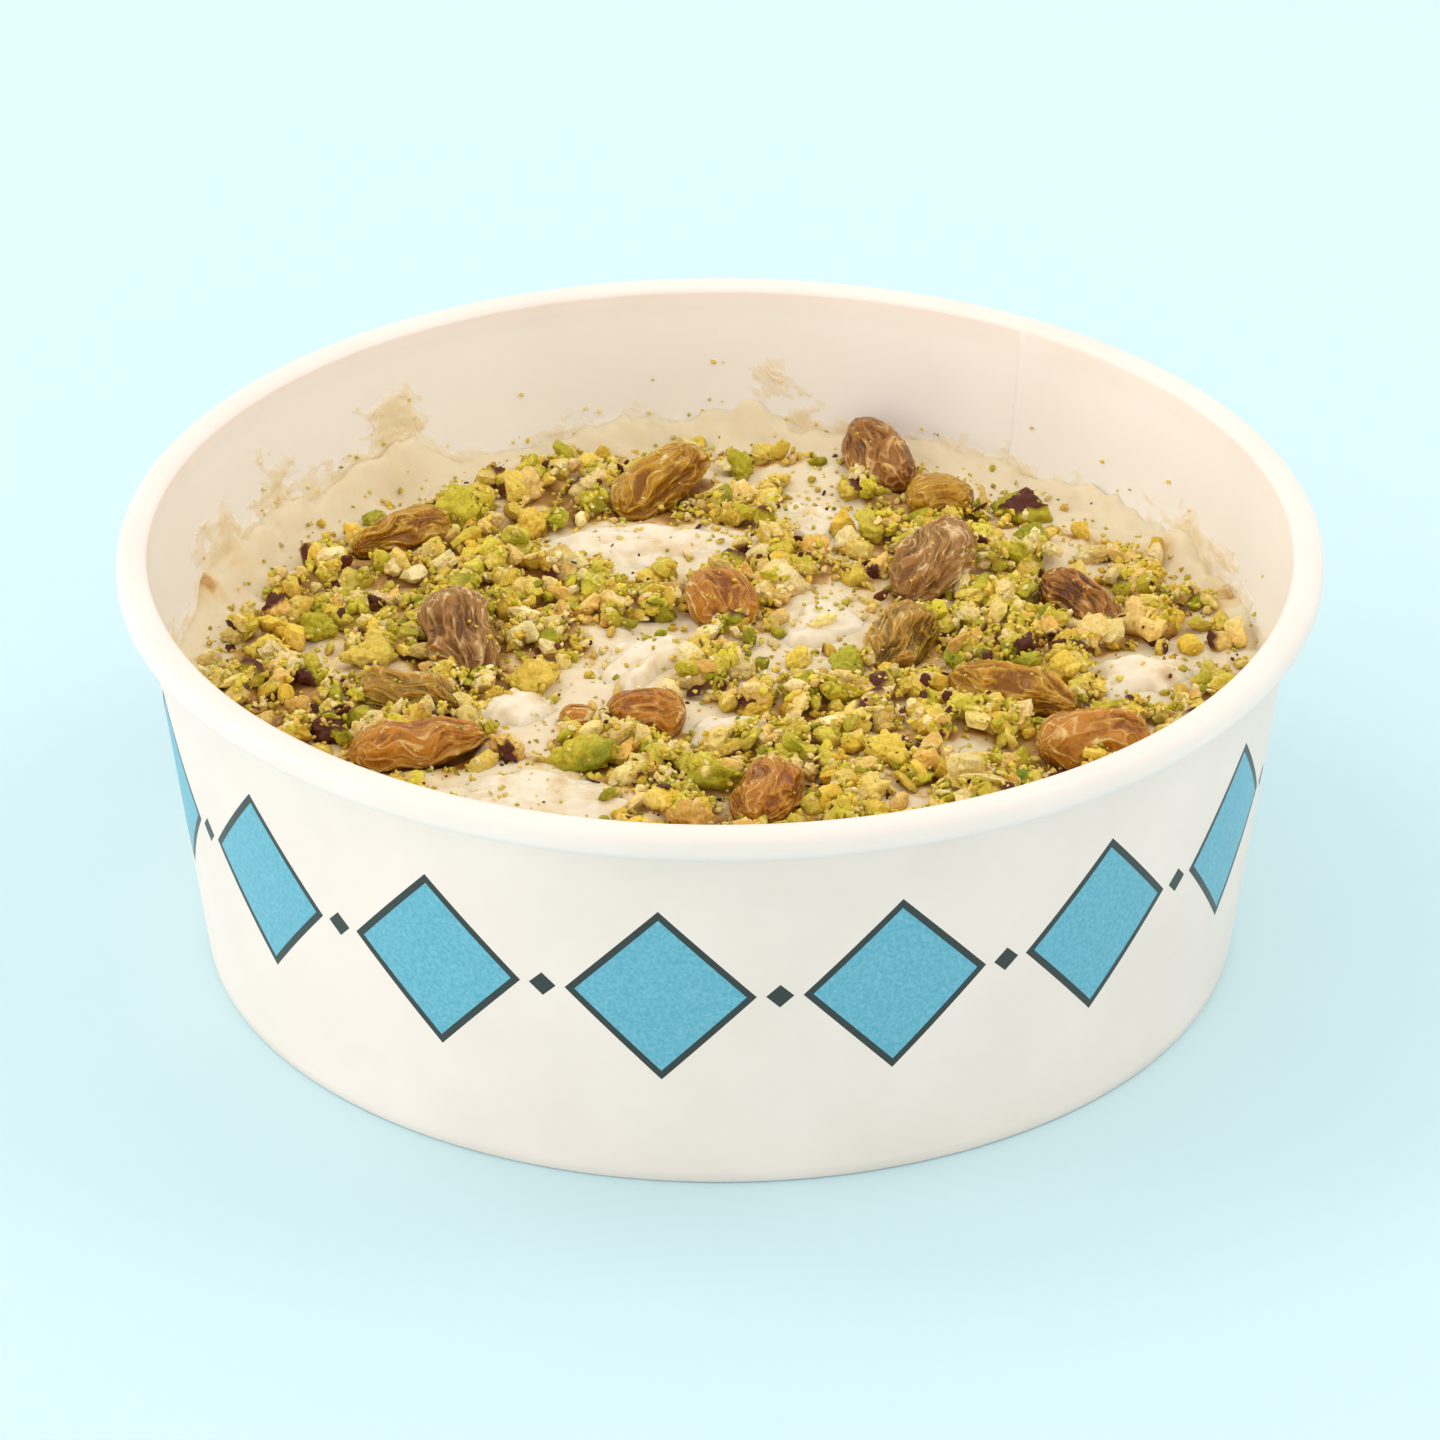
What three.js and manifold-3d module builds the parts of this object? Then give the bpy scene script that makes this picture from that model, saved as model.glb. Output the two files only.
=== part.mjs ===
// Umm ali in a round paper bowl: baked milk pudding with cream, chopped nuts and raisins on top.
// Millimetres, +Z up, origin under the middle of the foot ring. -Y is the side that faces the eater.
import * as THREE from 'three';
import { mergeVertices } from 'three/addons/utils/BufferGeometryUtils.js';
import Module from 'manifold-3d';

// ---- bowl ----
const rimRadius = 75;          // outside of the rolled rim
const bowlHeight = 54;
const footRadius = 64.8;       // outside of the wall where it meets the table
const rollWidth = 3.6;         // rolled rim, across
const rollHeight = 3.9;        // rolled rim, up and down
const board = 0.6;             // paper board, one layer
const hemWidth = 2.3;          // folded hem that the bowl stands on
const hemHeight = 6.1;
const gap = 0.35;              // air between pieces that touch
const segments = 60;           // steps round the bowl
const seamAngle = 56.7;        // degrees, where the inner end of the wall sheet shows
const seamLap = 6.5;           // degrees, how far the sheet ends overlap
const seamStep = 0.45;         // how far the lapped layer stands in

// ---- food ----
const level = 33.6;            // pudding where it meets the wall
const mound = 1.2;             // how much the middle stands higher
const climbDepth = 4.2;        // width of the film that clings to the wall
const topRings = [              // rings over the pudding: radius and how many points
  [11, 12], [22, 20], [32, 28], [41, 36], [49, 42], [56, 50], [61.5, segments], [65.4, segments],
];
const raisinPocket = 0.45;     // air round a raisin in its pocket
const creamPocket = 0.4;
const creamSink = 1.5;         // how deep a cream patch sits in the pudding
const creamEdge = 0.1;         // half its thickness at the edge
const creamHeadroom = 4;       // nothing of the pudding stands over a cream patch
const bitCount = 330;          // places tried for scattered nut bits
const bitsKept = 88;           // the largest of them
const bitReach = 62.5;         // no scattered bit lies further out
const bitSmall = 2.8;
const bitLarge = 5.2;

// Film on the wall: where it climbs (degrees from +X), how high, and half its width in degrees.
const climbs = [
  [128.6, 6.2, 7], [148, 5, 9], [160, 2.6, 6], [100, 3.8, 5], [88, 4.4, 6], [80, 2.4, 5],
  [63, 2.6, 8], [45, 3.4, 8], [28, 2.6, 10], [182, 1.6, 12], [216, 2.2, 8], [252, 1.6, 9], [303, 2.2, 10],
];

// Raisins: middle, size along, across and deep, then turn, lean and roll in degrees.
const raisins = [
  { at: [20.8, 57.6, 36.3], size: [13.5, 7.6, 6.4], turn: 119, lean: 14, roll: 10 },
  { at: [-7.6, 49.4, 36.6], size: [16.4, 7.8, 6.4], turn: 51, lean: 10, roll: 20 },
  { at: [-41.1, 36.8, 35.6], size: [14.2, 6.4, 5.2], turn: 33, lean: 3, roll: 0 },
  { at: [-32.7, 6.6, 36.9], size: [15.4, 8.2, 6.6], turn: 102, lean: 21, roll: 0 },
  { at: [-38.7, -6.5, 35.4], size: [14.6, 6.4, 5.0], turn: -26, lean: 0, roll: 15 },
  { at: [-37.4, -20.1, 36.0], size: [17.2, 8.2, 6.2], turn: 16, lean: 2, roll: -10 },
  { at: [0.0, 16.7, 36.6], size: [10.8, 8.2, 6.8], turn: 111, lean: 14, roll: 0 },
  { at: [-9.2, -11.9, 35.8], size: [10.0, 8.4, 6.6], turn: 5, lean: 0, roll: 0 },
  { at: [-17.4, -12.2, 35.2], size: [5.2, 4.2, 3.2], turn: -10, lean: 0, roll: 0 },
  { at: [27.2, 24.8, 37.7], size: [14.8, 8.2, 6.8], turn: 62, lean: 20, roll: 0 },
  { at: [23.0, 7.6, 35.8], size: [12.4, 7.0, 5.6], turn: 68, lean: 10, roll: 0 },
  { at: [28.5, 46.6, 35.7], size: [9.0, 7.6, 5.8], turn: 8, lean: 0, roll: 0 },
  { at: [45.4, 17.2, 35.9], size: [13.0, 6.8, 5.6], turn: -50, lean: -8, roll: 10 },
  { at: [36.6, -6.0, 36.1], size: [17.4, 7.2, 6.0], turn: -28, lean: 0, roll: 0 },
  { at: [46.1, -19.4, 36.3], size: [14.0, 9.4, 7.2], turn: 13, lean: 3, roll: 0 },
  { at: [5.8, -33.0, 36.3], size: [13.0, 8.6, 6.4], turn: 78, lean: 2, roll: -15 },
  { at: [-22.5, -47.5, 35.9], size: [14.0, 7.4, 6.0], turn: 140, lean: 0, roll: 0 },
  { at: [24.5, -50.5, 35.5], size: [12.6, 7.0, 5.8], turn: 25, lean: 0, roll: 10 },
  { at: [-2.5, -57.0, 35.0], size: [10.4, 6.8, 5.4], turn: -12, lean: 0, roll: 0 },
];

// Cream patches: middle, length, width, turn in degrees and rise above the pudding.
const creams = [
  { at: [-10.6, 35.2], size: [22, 12], turn: 4, rise: 1.3 },
  { at: [-9.5, 3.4], size: [15, 10.5], turn: 62, rise: 1.5 },
  { at: [-25.4, -8.6], size: [11.5, 8], turn: 40, rise: 1.2 },
  { at: [-21.5, -31.5], size: [25, 12], turn: -12, rise: 1.2 },
  { at: [13.2, 13.4], size: [12, 9], turn: 20, rise: 1.2 },
  { at: [12.2, 42.8], size: [12, 9], turn: -20, rise: 1.3 },
  { at: [1.8, -14.6], size: [11, 7], turn: -6, rise: 1.1 },
  { at: [52.6, 0.4], size: [12, 11], turn: 30, rise: 1.3 },
];

// The largest nut pieces: middle, size along, across and up, and turn in degrees.
const chunks = [
  { at: [-33.4, 44.4], size: [7.6, 6.6, 5.4], turn: 20 },
  { at: [-25.6, 50.4], size: [5.8, 5.2, 4.2], turn: 50 },
  { at: [-16.2, 50.6], size: [5.2, 4.6, 4.2], turn: 0 },
  { at: [1.6, 47.2], size: [5.8, 5.0, 4.0], turn: -20 },
  { at: [-26.9, 31.4], size: [6.2, 4.0, 3.6], turn: 10 },
  { at: [-26.0, 20.4], size: [4.6, 5.6, 4.2], turn: 80 },
  { at: [-14.8, 19.8], size: [5.2, 4.0, 3.4], turn: 10 },
  { at: [7.4, 32.6], size: [4.6, 4.0, 3.6], turn: 40 },
  { at: [7.8, 22.8], size: [7.0, 5.4, 4.0], turn: 0 },
  { at: [20.2, 38.6], size: [4.2, 5.2, 4.4], turn: 90 },
  { at: [39.2, 44.0], size: [6.4, 5.2, 4.4], turn: -20 },
  { at: [36.2, 15.8], size: [5.0, 4.6, 4.2], turn: 30 },
  { at: [54.2, 12.8], size: [6.8, 6.2, 5.6], turn: 15 },
  { at: [54.0, 25.0], size: [6.4, 4.6, 3.4], turn: 35 },
  { at: [-43.2, 3.4], size: [6.8, 4.6, 3.8], turn: 30 },
  { at: [-47.4, 15.0], size: [9.0, 3.0, 2.4], turn: 2 },
  { at: [-16.6, -22.6], size: [7.4, 5.2, 4.6], turn: 15 },
  { at: [-9.0, -25.6], size: [7.2, 5.0, 4.0], turn: 30 },
  { at: [-0.6, -28.0], size: [5.0, 6.8, 4.6], turn: 60 },
  { at: [-3.6, -38.6], size: [4.6, 4.0, 4.2], turn: 0 },
  { at: [-48.6, -13.4], size: [5.2, 3.6, 3.0], turn: -35 },
  { at: [-23.6, -1.8], size: [6.6, 4.6, 3.8], turn: 5 },
  { at: [10.2, -6.4], size: [6.4, 5.0, 4.0], turn: 10 },
  { at: [17.4, -5.4], size: [4.8, 4.4, 3.8], turn: 70 },
  { at: [37.0, 4.6], size: [4.4, 3.6, 4.4], turn: 80 },
  { at: [16.6, -30.6], size: [7.2, 4.0, 3.8], turn: 12 },
  { at: [14.4, -37.6], size: [4.6, 4.4, 4.0], turn: 0 },
  { at: [20.4, -21.6], size: [5.2, 4.4, 3.8], turn: -20 },
  { at: [26.4, -14.4], size: [4.0, 5.0, 4.0], turn: 85 },
  { at: [-9.6, -47.0], size: [6.4, 5.2, 4.2], turn: 25 },
  { at: [34.6, -38.0], size: [6.8, 5.0, 4.0], turn: -30 },
  { at: [-40.6, -37.8], size: [5.8, 4.8, 4.0], turn: 60 },
];

const degree = Math.PI / 180;
const tiny = 1e-6;
const wasm = await Module();
wasm.setup();

// ---- shared shapes ----

// A steady value from 0 to 1 for a whole number and a use of it.
function chance(index, use) {
  const wave = Math.sin(index * 12.9898 + use * 78.233) * 43758.5453;
  return wave - Math.floor(wave);
}

function smooth(t) {
  const held = Math.min(1, Math.max(0, t));
  return held * held * (3 - 2 * held);
}

// Radius of the wall's outer face at a height.
function wallOutside(z) {
  const underRoll = bowlHeight - rollHeight;
  const topRadius = rimRadius - rollWidth + gap;
  return footRadius + (topRadius - footRadius) * z / underRoll;
}

// Degrees round the bowl at which every ring has a point; two of them make the step of the lap.
function ringAngles() {
  const angles = [];
  for (let i = 0; i < segments; i += 1) angles.push(i * 360 / segments);
  angles.push(seamAngle, seamAngle + 0.4, seamAngle - seamLap);
  return angles.sort((a, b) => a - b);
}

// How far the lapped layer stands in from the wall at an angle.
function lapInset(angle) {
  return angle > seamAngle - seamLap + 1 && angle <= seamAngle ? seamStep : 0;
}

// Height of the pudding without its nuts: a low mound with slow waves and film up the wall.
function puddingTop(x, y) {
  const r = Math.hypot(x, y);
  const edge = wallOutside(level) - board;
  const waves = 0.45 * Math.cos(0.13 * x + 0.6) * Math.cos(0.16 * y - 0.4)
    + 0.3 * Math.cos(0.31 * x - 0.22 * y + 1.7) + 0.2 * Math.cos(0.35 * x + 0.47 * y);
  const nearWall = smooth((r - edge + climbDepth) / climbDepth);
  let film = 0;
  for (const [angle, height, spread] of climbs) {
    const away = ((Math.atan2(y, x) / degree - angle) % 360 + 540) % 360 - 180;
    film += height * Math.exp(-((away / spread) ** 2));
  }
  return level + mound * (1 - (r / edge) ** 2) + waves + film * nearWall;
}

function meshGeometry(points, faces) {
  const geometry = new THREE.BufferGeometry();
  geometry.setAttribute('position', new THREE.Float32BufferAttribute(points.flat(), 3));
  geometry.setIndex(faces.flat());
  return geometry;
}

// Angle of each point of a ring round the middle, rising from the first point, closed at the end.
function turnsOf(ring, middle) {
  const turns = ring.map(([x, y]) => (Math.atan2(y - middle[1], x - middle[0]) + 7) % (2 * Math.PI));
  const start = turns[0];
  return [...turns.map((turn) => (turn - start + 2 * Math.PI + tiny) % (2 * Math.PI)), 2 * Math.PI];
}

// Rings of points joined into a closed skin. Each ring runs counterclockwise seen from above, and
// the rings run outwards over the top, down the side and inwards underneath. Neighbours may have
// different numbers of points: each step goes to whichever ring has the nearer next point.
function skinOverRings(top, rings, bottom) {
  const points = [top, ...rings.flat(), bottom];
  const last = points.length - 1;
  const faces = [];
  let here = 1;
  rings[0].forEach((point, i) => faces.push([0, 1 + i, 1 + (i + 1) % rings[0].length]));
  for (let k = 0; k < rings.length - 1; k += 1) {
    const [inner, outer] = [rings[k], rings[k + 1]];
    const [innerTurns, outerTurns] = [turnsOf(inner, top), turnsOf(outer, top)];
    const there = here + inner.length;
    let i = 0;
    let j = 0;
    while (i < inner.length || j < outer.length) {
      const a = here + i % inner.length;
      const b = there + j % outer.length;
      const outward = i === inner.length || (j < outer.length && outerTurns[j + 1] <= innerTurns[i + 1]);
      if (outward) {
        faces.push([a, b, there + (j + 1) % outer.length]);
        j += 1;
      } else {
        faces.push([a, b, here + (i + 1) % inner.length]);
        i += 1;
      }
    }
    here = there;
  }
  const lowest = rings[rings.length - 1].length;
  for (let i = 0; i < lowest; i += 1) faces.push([here + i, last, here + (i + 1) % lowest]);
  return meshGeometry(points, faces);
}

function solidOf(geometry) {
  const bare = geometry.clone();
  bare.deleteAttribute('normal');
  bare.deleteAttribute('uv');
  const merged = mergeVertices(bare, 1e-5);
  return new wasm.Manifold(new wasm.Mesh({
    numProp: 3,
    vertProperties: new Float32Array(merged.attributes.position.array),
    triVerts: new Uint32Array(merged.index.array),
  }));
}

function geometryOf(solid) {
  const mesh = solid.getMesh();
  const geometry = new THREE.BufferGeometry();
  geometry.setAttribute('position', new THREE.BufferAttribute(mesh.vertProperties, 3));
  geometry.setIndex(new THREE.BufferAttribute(mesh.triVerts, 1));
  return geometry;
}

// ---- bowl ----

// Section of the wall as [radius, height, is inside]: foot, wall, rolled rim, inner face, hem.
function wallSection() {
  const rollMiddle = [rimRadius - rollWidth / 2, bowlHeight - rollHeight / 2];
  const section = [];
  for (const part of [0, 0.35, 0.7, 1]) {
    const z = part * (bowlHeight - rollHeight);
    section.push([wallOutside(z), z, false]);
  }
  for (const turn of [-62, -28, 4, 34, 62, 90, 118, 148]) {
    const across = Math.cos(turn * degree);
    const up = Math.sin(turn * degree);
    const r = rollMiddle[0] + rollWidth / 2 * Math.sign(across) * Math.abs(across) ** 0.72;
    const z = rollMiddle[1] + rollHeight / 2 * Math.sign(up) * Math.abs(up) ** 0.72;
    section.push([r, z, false]);
  }
  for (const z of [bowlHeight - rollHeight, level + 6, hemHeight]) {
    section.push([wallOutside(z) - board, z, true]);
  }
  section.push([wallOutside(hemHeight) - hemWidth, hemHeight, false]);
  section.push([footRadius - hemWidth, 0, false]);
  return section;
}

// The section is carried round the bowl; the last point of a ring joins the first.
function wallGeometry() {
  const section = wallSection();
  const angles = ringAngles();
  const points = [];
  const faces = [];
  angles.forEach((angle, i) => {
    for (const [r, z, inside] of section) {
      const reach = inside ? r - lapInset(angle) : r;
      points.push([reach * Math.cos(angle * degree), reach * Math.sin(angle * degree), z]);
    }
    const here = i * section.length;
    const next = ((i + 1) % angles.length) * section.length;
    for (let k = 0; k < section.length; k += 1) {
      const up = (k + 1) % section.length;
      faces.push([here + k, next + k, next + up], [here + k, next + up, here + up]);
    }
  });
  return meshGeometry(points, faces);
}

// Ring of points inside the wall, clear of it and of the lap.
function innerRing(height) {
  return ringAngles().map((angle) => {
    const z = typeof height === 'function' ? height(angle) : height;
    const r = wallOutside(z) - board - gap - lapInset(angle);
    return [r * Math.cos(angle * degree), r * Math.sin(angle * degree), z];
  });
}

const baseUnder = hemHeight + gap;
const baseTop = baseUnder + board;

function baseGeometry() {
  return skinOverRings([0, 0, baseTop], [innerRing(baseTop), innerRing(baseUnder)], [0, 0, baseUnder]);
}

// ---- food ----

// A raisin grown by some air: an egg with long wrinkles, one end finer, bent a little.
function raisinGeometry(index, air) {
  const { size } = raisins[index];
  const geometry = new THREE.SphereGeometry(1, 10, 7);
  geometry.rotateZ(Math.PI / 2);
  const place = geometry.attributes.position;
  const half = size.map((length) => length / 2);
  const taper = 0.24 * (chance(index, 1) - 0.35);
  const bend = 0.16 * (chance(index, 2) - 0.5) * half[0];
  for (let i = 0; i < place.count; i += 1) {
    const along = place.getX(i);
    const round = Math.atan2(place.getZ(i), place.getY(i));
    const body = Math.max(0, 1 - Math.abs(along) ** 2.4) ** 0.5 * (1 - taper * along);
    const wrinkle = 1 + 0.05 * Math.cos(3 * round + 6 * chance(index, 3) + along);
    const drop = bend * (along ** 2 - 0.4);
    place.setXYZ(i,
      along * (half[0] + air),
      Math.cos(round) * (half[1] * body * wrinkle + air * Math.sign(body)) + drop,
      Math.sin(round) * (half[2] * body * wrinkle + air * Math.sign(body)));
  }
  return geometry;
}

function layRaisin(object, { at, turn, lean, roll }) {
  object.rotation.set(roll * degree, -lean * degree, turn * degree, 'ZYX');
  object.position.set(...at);
  object.updateMatrixWorld();
  return object;
}

// A cream patch grown by some air: a lens with a wavy outline that follows the pudding.
function creamGeometry(index, air, headroom) {
  const { at, size, turn, rise } = creams[index];
  const around = 16;
  const place = (part, step, over) => {
    const angle = step * 2 * Math.PI / around;
    const wavy = 1 + 0.13 * Math.cos(2 * angle + index) + 0.1 * Math.cos(3 * angle + 2 * index)
      + 0.06 * Math.cos(5 * angle + index);
    const along = part * (size[0] / 2 * wavy + air) * Math.cos(angle);
    const across = part * (size[1] / 2 * wavy + air) * Math.sin(angle);
    const x = at[0] + along * Math.cos(turn * degree) - across * Math.sin(turn * degree);
    const y = at[1] + along * Math.sin(turn * degree) + across * Math.cos(turn * degree);
    const swell = (1 - part ** 3) * (1 + 0.25 * Math.cos(0.9 * x + index) * Math.cos(0.8 * y));
    const lift = over ? rise * swell + headroom : -creamSink * (1 - part ** 4) - air;
    return [x, y, puddingTop(x, y) + lift + (over ? creamEdge : -creamEdge)];
  };
  const ring = (part, over) => [...Array(around).keys()].map((step) => place(part, step, over));
  const rings = [ring(0.6, true), ring(1, true), ring(1, false)];
  return skinOverRings(place(0, 0, true), rings, place(0, 0, false));
}

// A chopped nut piece: a rough lump or block with shifted corners, part sunk in the pudding.
function bitGeometry(index, x, y, size, turn, rough) {
  const geometry = mergeVertices(stripped(rough), 1e-4);
  const place = geometry.attributes.position;
  for (let i = 0; i < place.count; i += 1) {
    const shift = 0.82 + 0.34 * chance(index * 50 + i, 4);
    place.setXYZ(i, place.getX(i) * shift, place.getY(i) * shift, place.getZ(i) * shift);
  }
  geometry.scale(size[0] / 2, size[1] / 2, size[2] / 2);
  geometry.rotateX(0.5 * (chance(index, 5) - 0.5));
  geometry.rotateZ(turn * degree);
  geometry.translate(x, y, puddingTop(x, y) + size[2] * 0.22);
  return geometry;
}

function stripped(geometry) {
  geometry.deleteAttribute('normal');
  geometry.deleteAttribute('uv');
  return geometry;
}

// Whether a point in plan lies on an oval grown by a margin.
function onOval(x, y, { at, size, turn }, margin) {
  const dx = x - at[0];
  const dy = y - at[1];
  const along = dx * Math.cos(turn * degree) + dy * Math.sin(turn * degree);
  const across = dy * Math.cos(turn * degree) - dx * Math.sin(turn * degree);
  return (along / (size[0] / 2 + margin)) ** 2 + (across / (size[1] / 2 + margin)) ** 2 < 1;
}

// Scattered bits lie on a sunflower spiral with a shake, clear of raisins, cream and large pieces.
function scatteredBits() {
  const golden = Math.PI * (3 - Math.sqrt(5));
  const bits = [];
  for (let i = 0; i < bitCount; i += 1) {
    const length = bitSmall + (bitLarge - bitSmall) * chance(i, 6) ** 1.6;
    const r = bitReach * Math.sqrt((i + 0.5) / bitCount) + 1.6 * (chance(i, 7) - 0.5);
    const angle = i * golden + 0.1 * (chance(i, 8) - 0.5);
    const x = r * Math.cos(angle);
    const y = r * Math.sin(angle);
    const room = length / 2 + raisinPocket;
    const taken = raisins.some((oval) => onOval(x, y, oval, room))
      || creams.some((oval) => onOval(x, y, oval, room * 0.8))
      || chunks.some((oval) => onOval(x, y, oval, room * 0.7));
    if (!taken) bits.push({ index: i + 100, x, y, length });
  }
  return bits.sort((a, b) => b.length - a.length).slice(0, bitsKept);
}

function puddingGeometry() {
  const rings = topRings.map(([r, count]) => [...Array(count).keys()].map((step) => {
    const x = r * Math.cos(step * 2 * Math.PI / count);
    const y = r * Math.sin(step * 2 * Math.PI / count);
    return [x, y, puddingTop(x, y)];
  }));
  const atWall = (angle) => {
    const r = wallOutside(level) - board;
    return puddingTop(r * Math.cos(angle * degree), r * Math.sin(angle * degree));
  };
  rings.push(innerRing(atWall), innerRing(baseTop + gap));
  const core = solidOf(skinOverRings([0, 0, puddingTop(0, 0)], rings, [0, 0, baseTop + gap]));

  const nuts = chunks.map(({ at, size, turn }, i) => (
    solidOf(bitGeometry(i, at[0], at[1], size, turn, new THREE.IcosahedronGeometry(1, 0)))));
  for (const { index, x, y, length } of scatteredBits()) {
    const size = [length, length * (0.62 + 0.3 * chance(index, 9)), length * (0.6 + 0.25 * chance(index, 10))];
    const block = new THREE.CylinderGeometry(0.62, 1, 1.5, 5).rotateX(Math.PI / 2);
    nuts.push(solidOf(bitGeometry(index, x, y, size, 360 * chance(index, 11), block)));
  }

  const pockets = raisins.map((raisin, i) => {
    const grown = layRaisin(new THREE.Mesh(raisinGeometry(i, raisinPocket)), raisin);
    return solidOf(grown.geometry.applyMatrix4(grown.matrixWorld));
  });
  creams.forEach((cream, i) => pockets.push(solidOf(creamGeometry(i, creamPocket, creamHeadroom))));

  const topped = wasm.Manifold.union([core, ...nuts]);
  const pieces = topped.subtract(wasm.Manifold.union(pockets)).decompose();
  return geometryOf(pieces.reduce((best, piece) => (piece.volume() > best.volume() ? piece : best)));
}

// ---- finishes ----
const paper = { color: 0xf4efe2, roughness: 0.45, metalness: 0 };
const bakedMilk = { color: 0xdec29a, roughness: 0.5, metalness: 0 };
const clottedCream = { color: 0xf3ead6, roughness: 0.45, metalness: 0 };
const raisinSkins = [0x6f4220, 0xb07a2c, 0x9c6a2e, 0xa5804f, 0x7d6a3a, 0xb06f35];

function named(name, geometry, finish) {
  const mesh = new THREE.Mesh(geometry, new THREE.MeshStandardMaterial({ flatShading: true, ...finish }));
  mesh.name = name;
  return mesh;
}

function twoDigits(number) {
  return String(number).padStart(2, '0');
}

const bowlOfUmmAli = new THREE.Group();
bowlOfUmmAli.add(named('bowl_side', wallGeometry(), paper));
bowlOfUmmAli.add(named('bowl_base', baseGeometry(), paper));
bowlOfUmmAli.add(named('pudding', puddingGeometry(), bakedMilk));
creams.forEach((cream, i) => {
  bowlOfUmmAli.add(named(`cream_${i + 1}`, creamGeometry(i, 0, 0), clottedCream));
});
raisins.forEach((raisin, i) => {
  const skin = { color: raisinSkins[i % raisinSkins.length], roughness: 0.4, metalness: 0 };
  bowlOfUmmAli.add(layRaisin(named(`raisin_${twoDigits(i + 1)}`, raisinGeometry(i, 0), skin), raisin));
});

export default bowlOfUmmAli;
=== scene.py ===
# Looks of a paper bowl of umm ali: warm milk pudding, cream, chopped pistachios and hazelnuts, raisins.
# Shapes are worked out in millimetres and turned to metres when a mesh is made.
import math

import bmesh
import bpy
import numpy as np
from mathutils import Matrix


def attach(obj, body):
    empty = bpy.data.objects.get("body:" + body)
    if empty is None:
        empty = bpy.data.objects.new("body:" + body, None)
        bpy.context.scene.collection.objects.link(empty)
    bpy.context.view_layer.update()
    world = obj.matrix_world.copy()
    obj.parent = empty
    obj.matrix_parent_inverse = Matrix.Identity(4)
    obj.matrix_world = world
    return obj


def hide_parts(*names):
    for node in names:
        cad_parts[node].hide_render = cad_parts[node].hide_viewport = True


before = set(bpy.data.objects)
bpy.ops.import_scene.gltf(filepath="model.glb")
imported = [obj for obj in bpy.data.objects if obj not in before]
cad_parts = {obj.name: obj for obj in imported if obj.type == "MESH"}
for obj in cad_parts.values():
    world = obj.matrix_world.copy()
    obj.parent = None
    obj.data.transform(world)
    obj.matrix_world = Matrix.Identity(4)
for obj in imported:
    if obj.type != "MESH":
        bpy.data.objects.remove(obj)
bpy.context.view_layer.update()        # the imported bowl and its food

mm = 0.001
tau = 2 * math.pi


# A steady value from 0 to 1 for a whole number and a use of it, the same as in the part's source.
def chance(index, use):
    wave = np.sin(np.asarray(index) * 12.9898 + use * 78.233) * 43758.5453
    return wave - np.floor(wave)


# 0 below 0, 1 above 1 and an S-shaped slope between.
def smooth(t):
    held = np.clip(t, 0, 1)
    return held * held * (3 - 2 * held)


# A steady value from 0 to 1 for each cell of a lattice: its whole numbers mixed and folded twice.
def cellValue(cell, seed):
    mixed = cell[..., 0] * 374761393 + cell[..., 1] * 668265263 + cell[..., 2] * 1274126177
    mixed = (mixed + seed * 974711) & 0xffffffff
    mixed = ((mixed ^ (mixed >> 13)) * 1103515245) & 0xffffffff
    return ((mixed ^ (mixed >> 16)) & 0xffff) / 65535


# Noise from -1 to 1: the values at the eight corners of a point's cell, blended by smooth weights.
def softNoise(points, size, seed):
    scaled = np.asarray(points, float) / size
    cell = np.floor(scaled).astype(np.int64)
    part = smooth(scaled - cell)
    total = np.zeros(scaled.shape[:-1])
    for corner in range(8):
        offset = np.array([corner & 1, corner >> 1 & 1, corner >> 2 & 1])
        weight = np.where(offset, part, 1 - part).prod(-1)
        total += weight * cellValue(cell + offset, seed)
    return 2 * total - 1


# Several layers of noise, each half as large and half as strong as the one before, from -1 to 1.
def layeredNoise(points, size, seed, layers=3):
    total = 0
    for layer in range(layers):
        total = total + softNoise(points, size / 2 ** layer, seed + layer) / 2 ** layer
    return total / (2 - 2 / 2 ** layers)


# So many angles in radians, evenly round a circle.
def evenAngles(count):
    return np.arange(count) * tau / count


# Places at distances and angles in radians round the middle.
def ringPlaces(r, angle):
    return r * np.cos(angle), r * np.sin(angle)


# Points of a plane at height 0, for noise that only varies in plan.
def flat(x, y):
    return np.stack([x, y, np.zeros_like(x)], -1)


# Faces of a grid of rows by columns; the columns close on themselves, and rows run outwards or down.
def wrappedQuads(rows, columns):
    row, column = np.meshgrid(np.arange(rows - 1), np.arange(columns), indexing="ij")
    here = row * columns + column
    beside = row * columns + (column + 1) % columns
    return np.stack([here, here + columns, beside + columns, beside], -1).reshape(-1, 4)


# The same grid's faces, closed by caps on two points that follow it: one for the first row, one for
# the last; all turned round where the rows run the other way.
def closedFaces(rows, columns, turned=False):
    near = np.arange(columns)
    far = (near + 1) % columns
    last = (rows - 1) * columns
    tips = np.full(columns, rows * columns)
    quads = wrappedQuads(rows, columns)
    caps = np.concatenate([np.stack([tips, near, far], -1),
                           np.stack([tips + 1, last + far, last + near], -1)])
    return (quads[:, ::-1], caps[:, ::-1]) if turned else (quads, caps)


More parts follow.
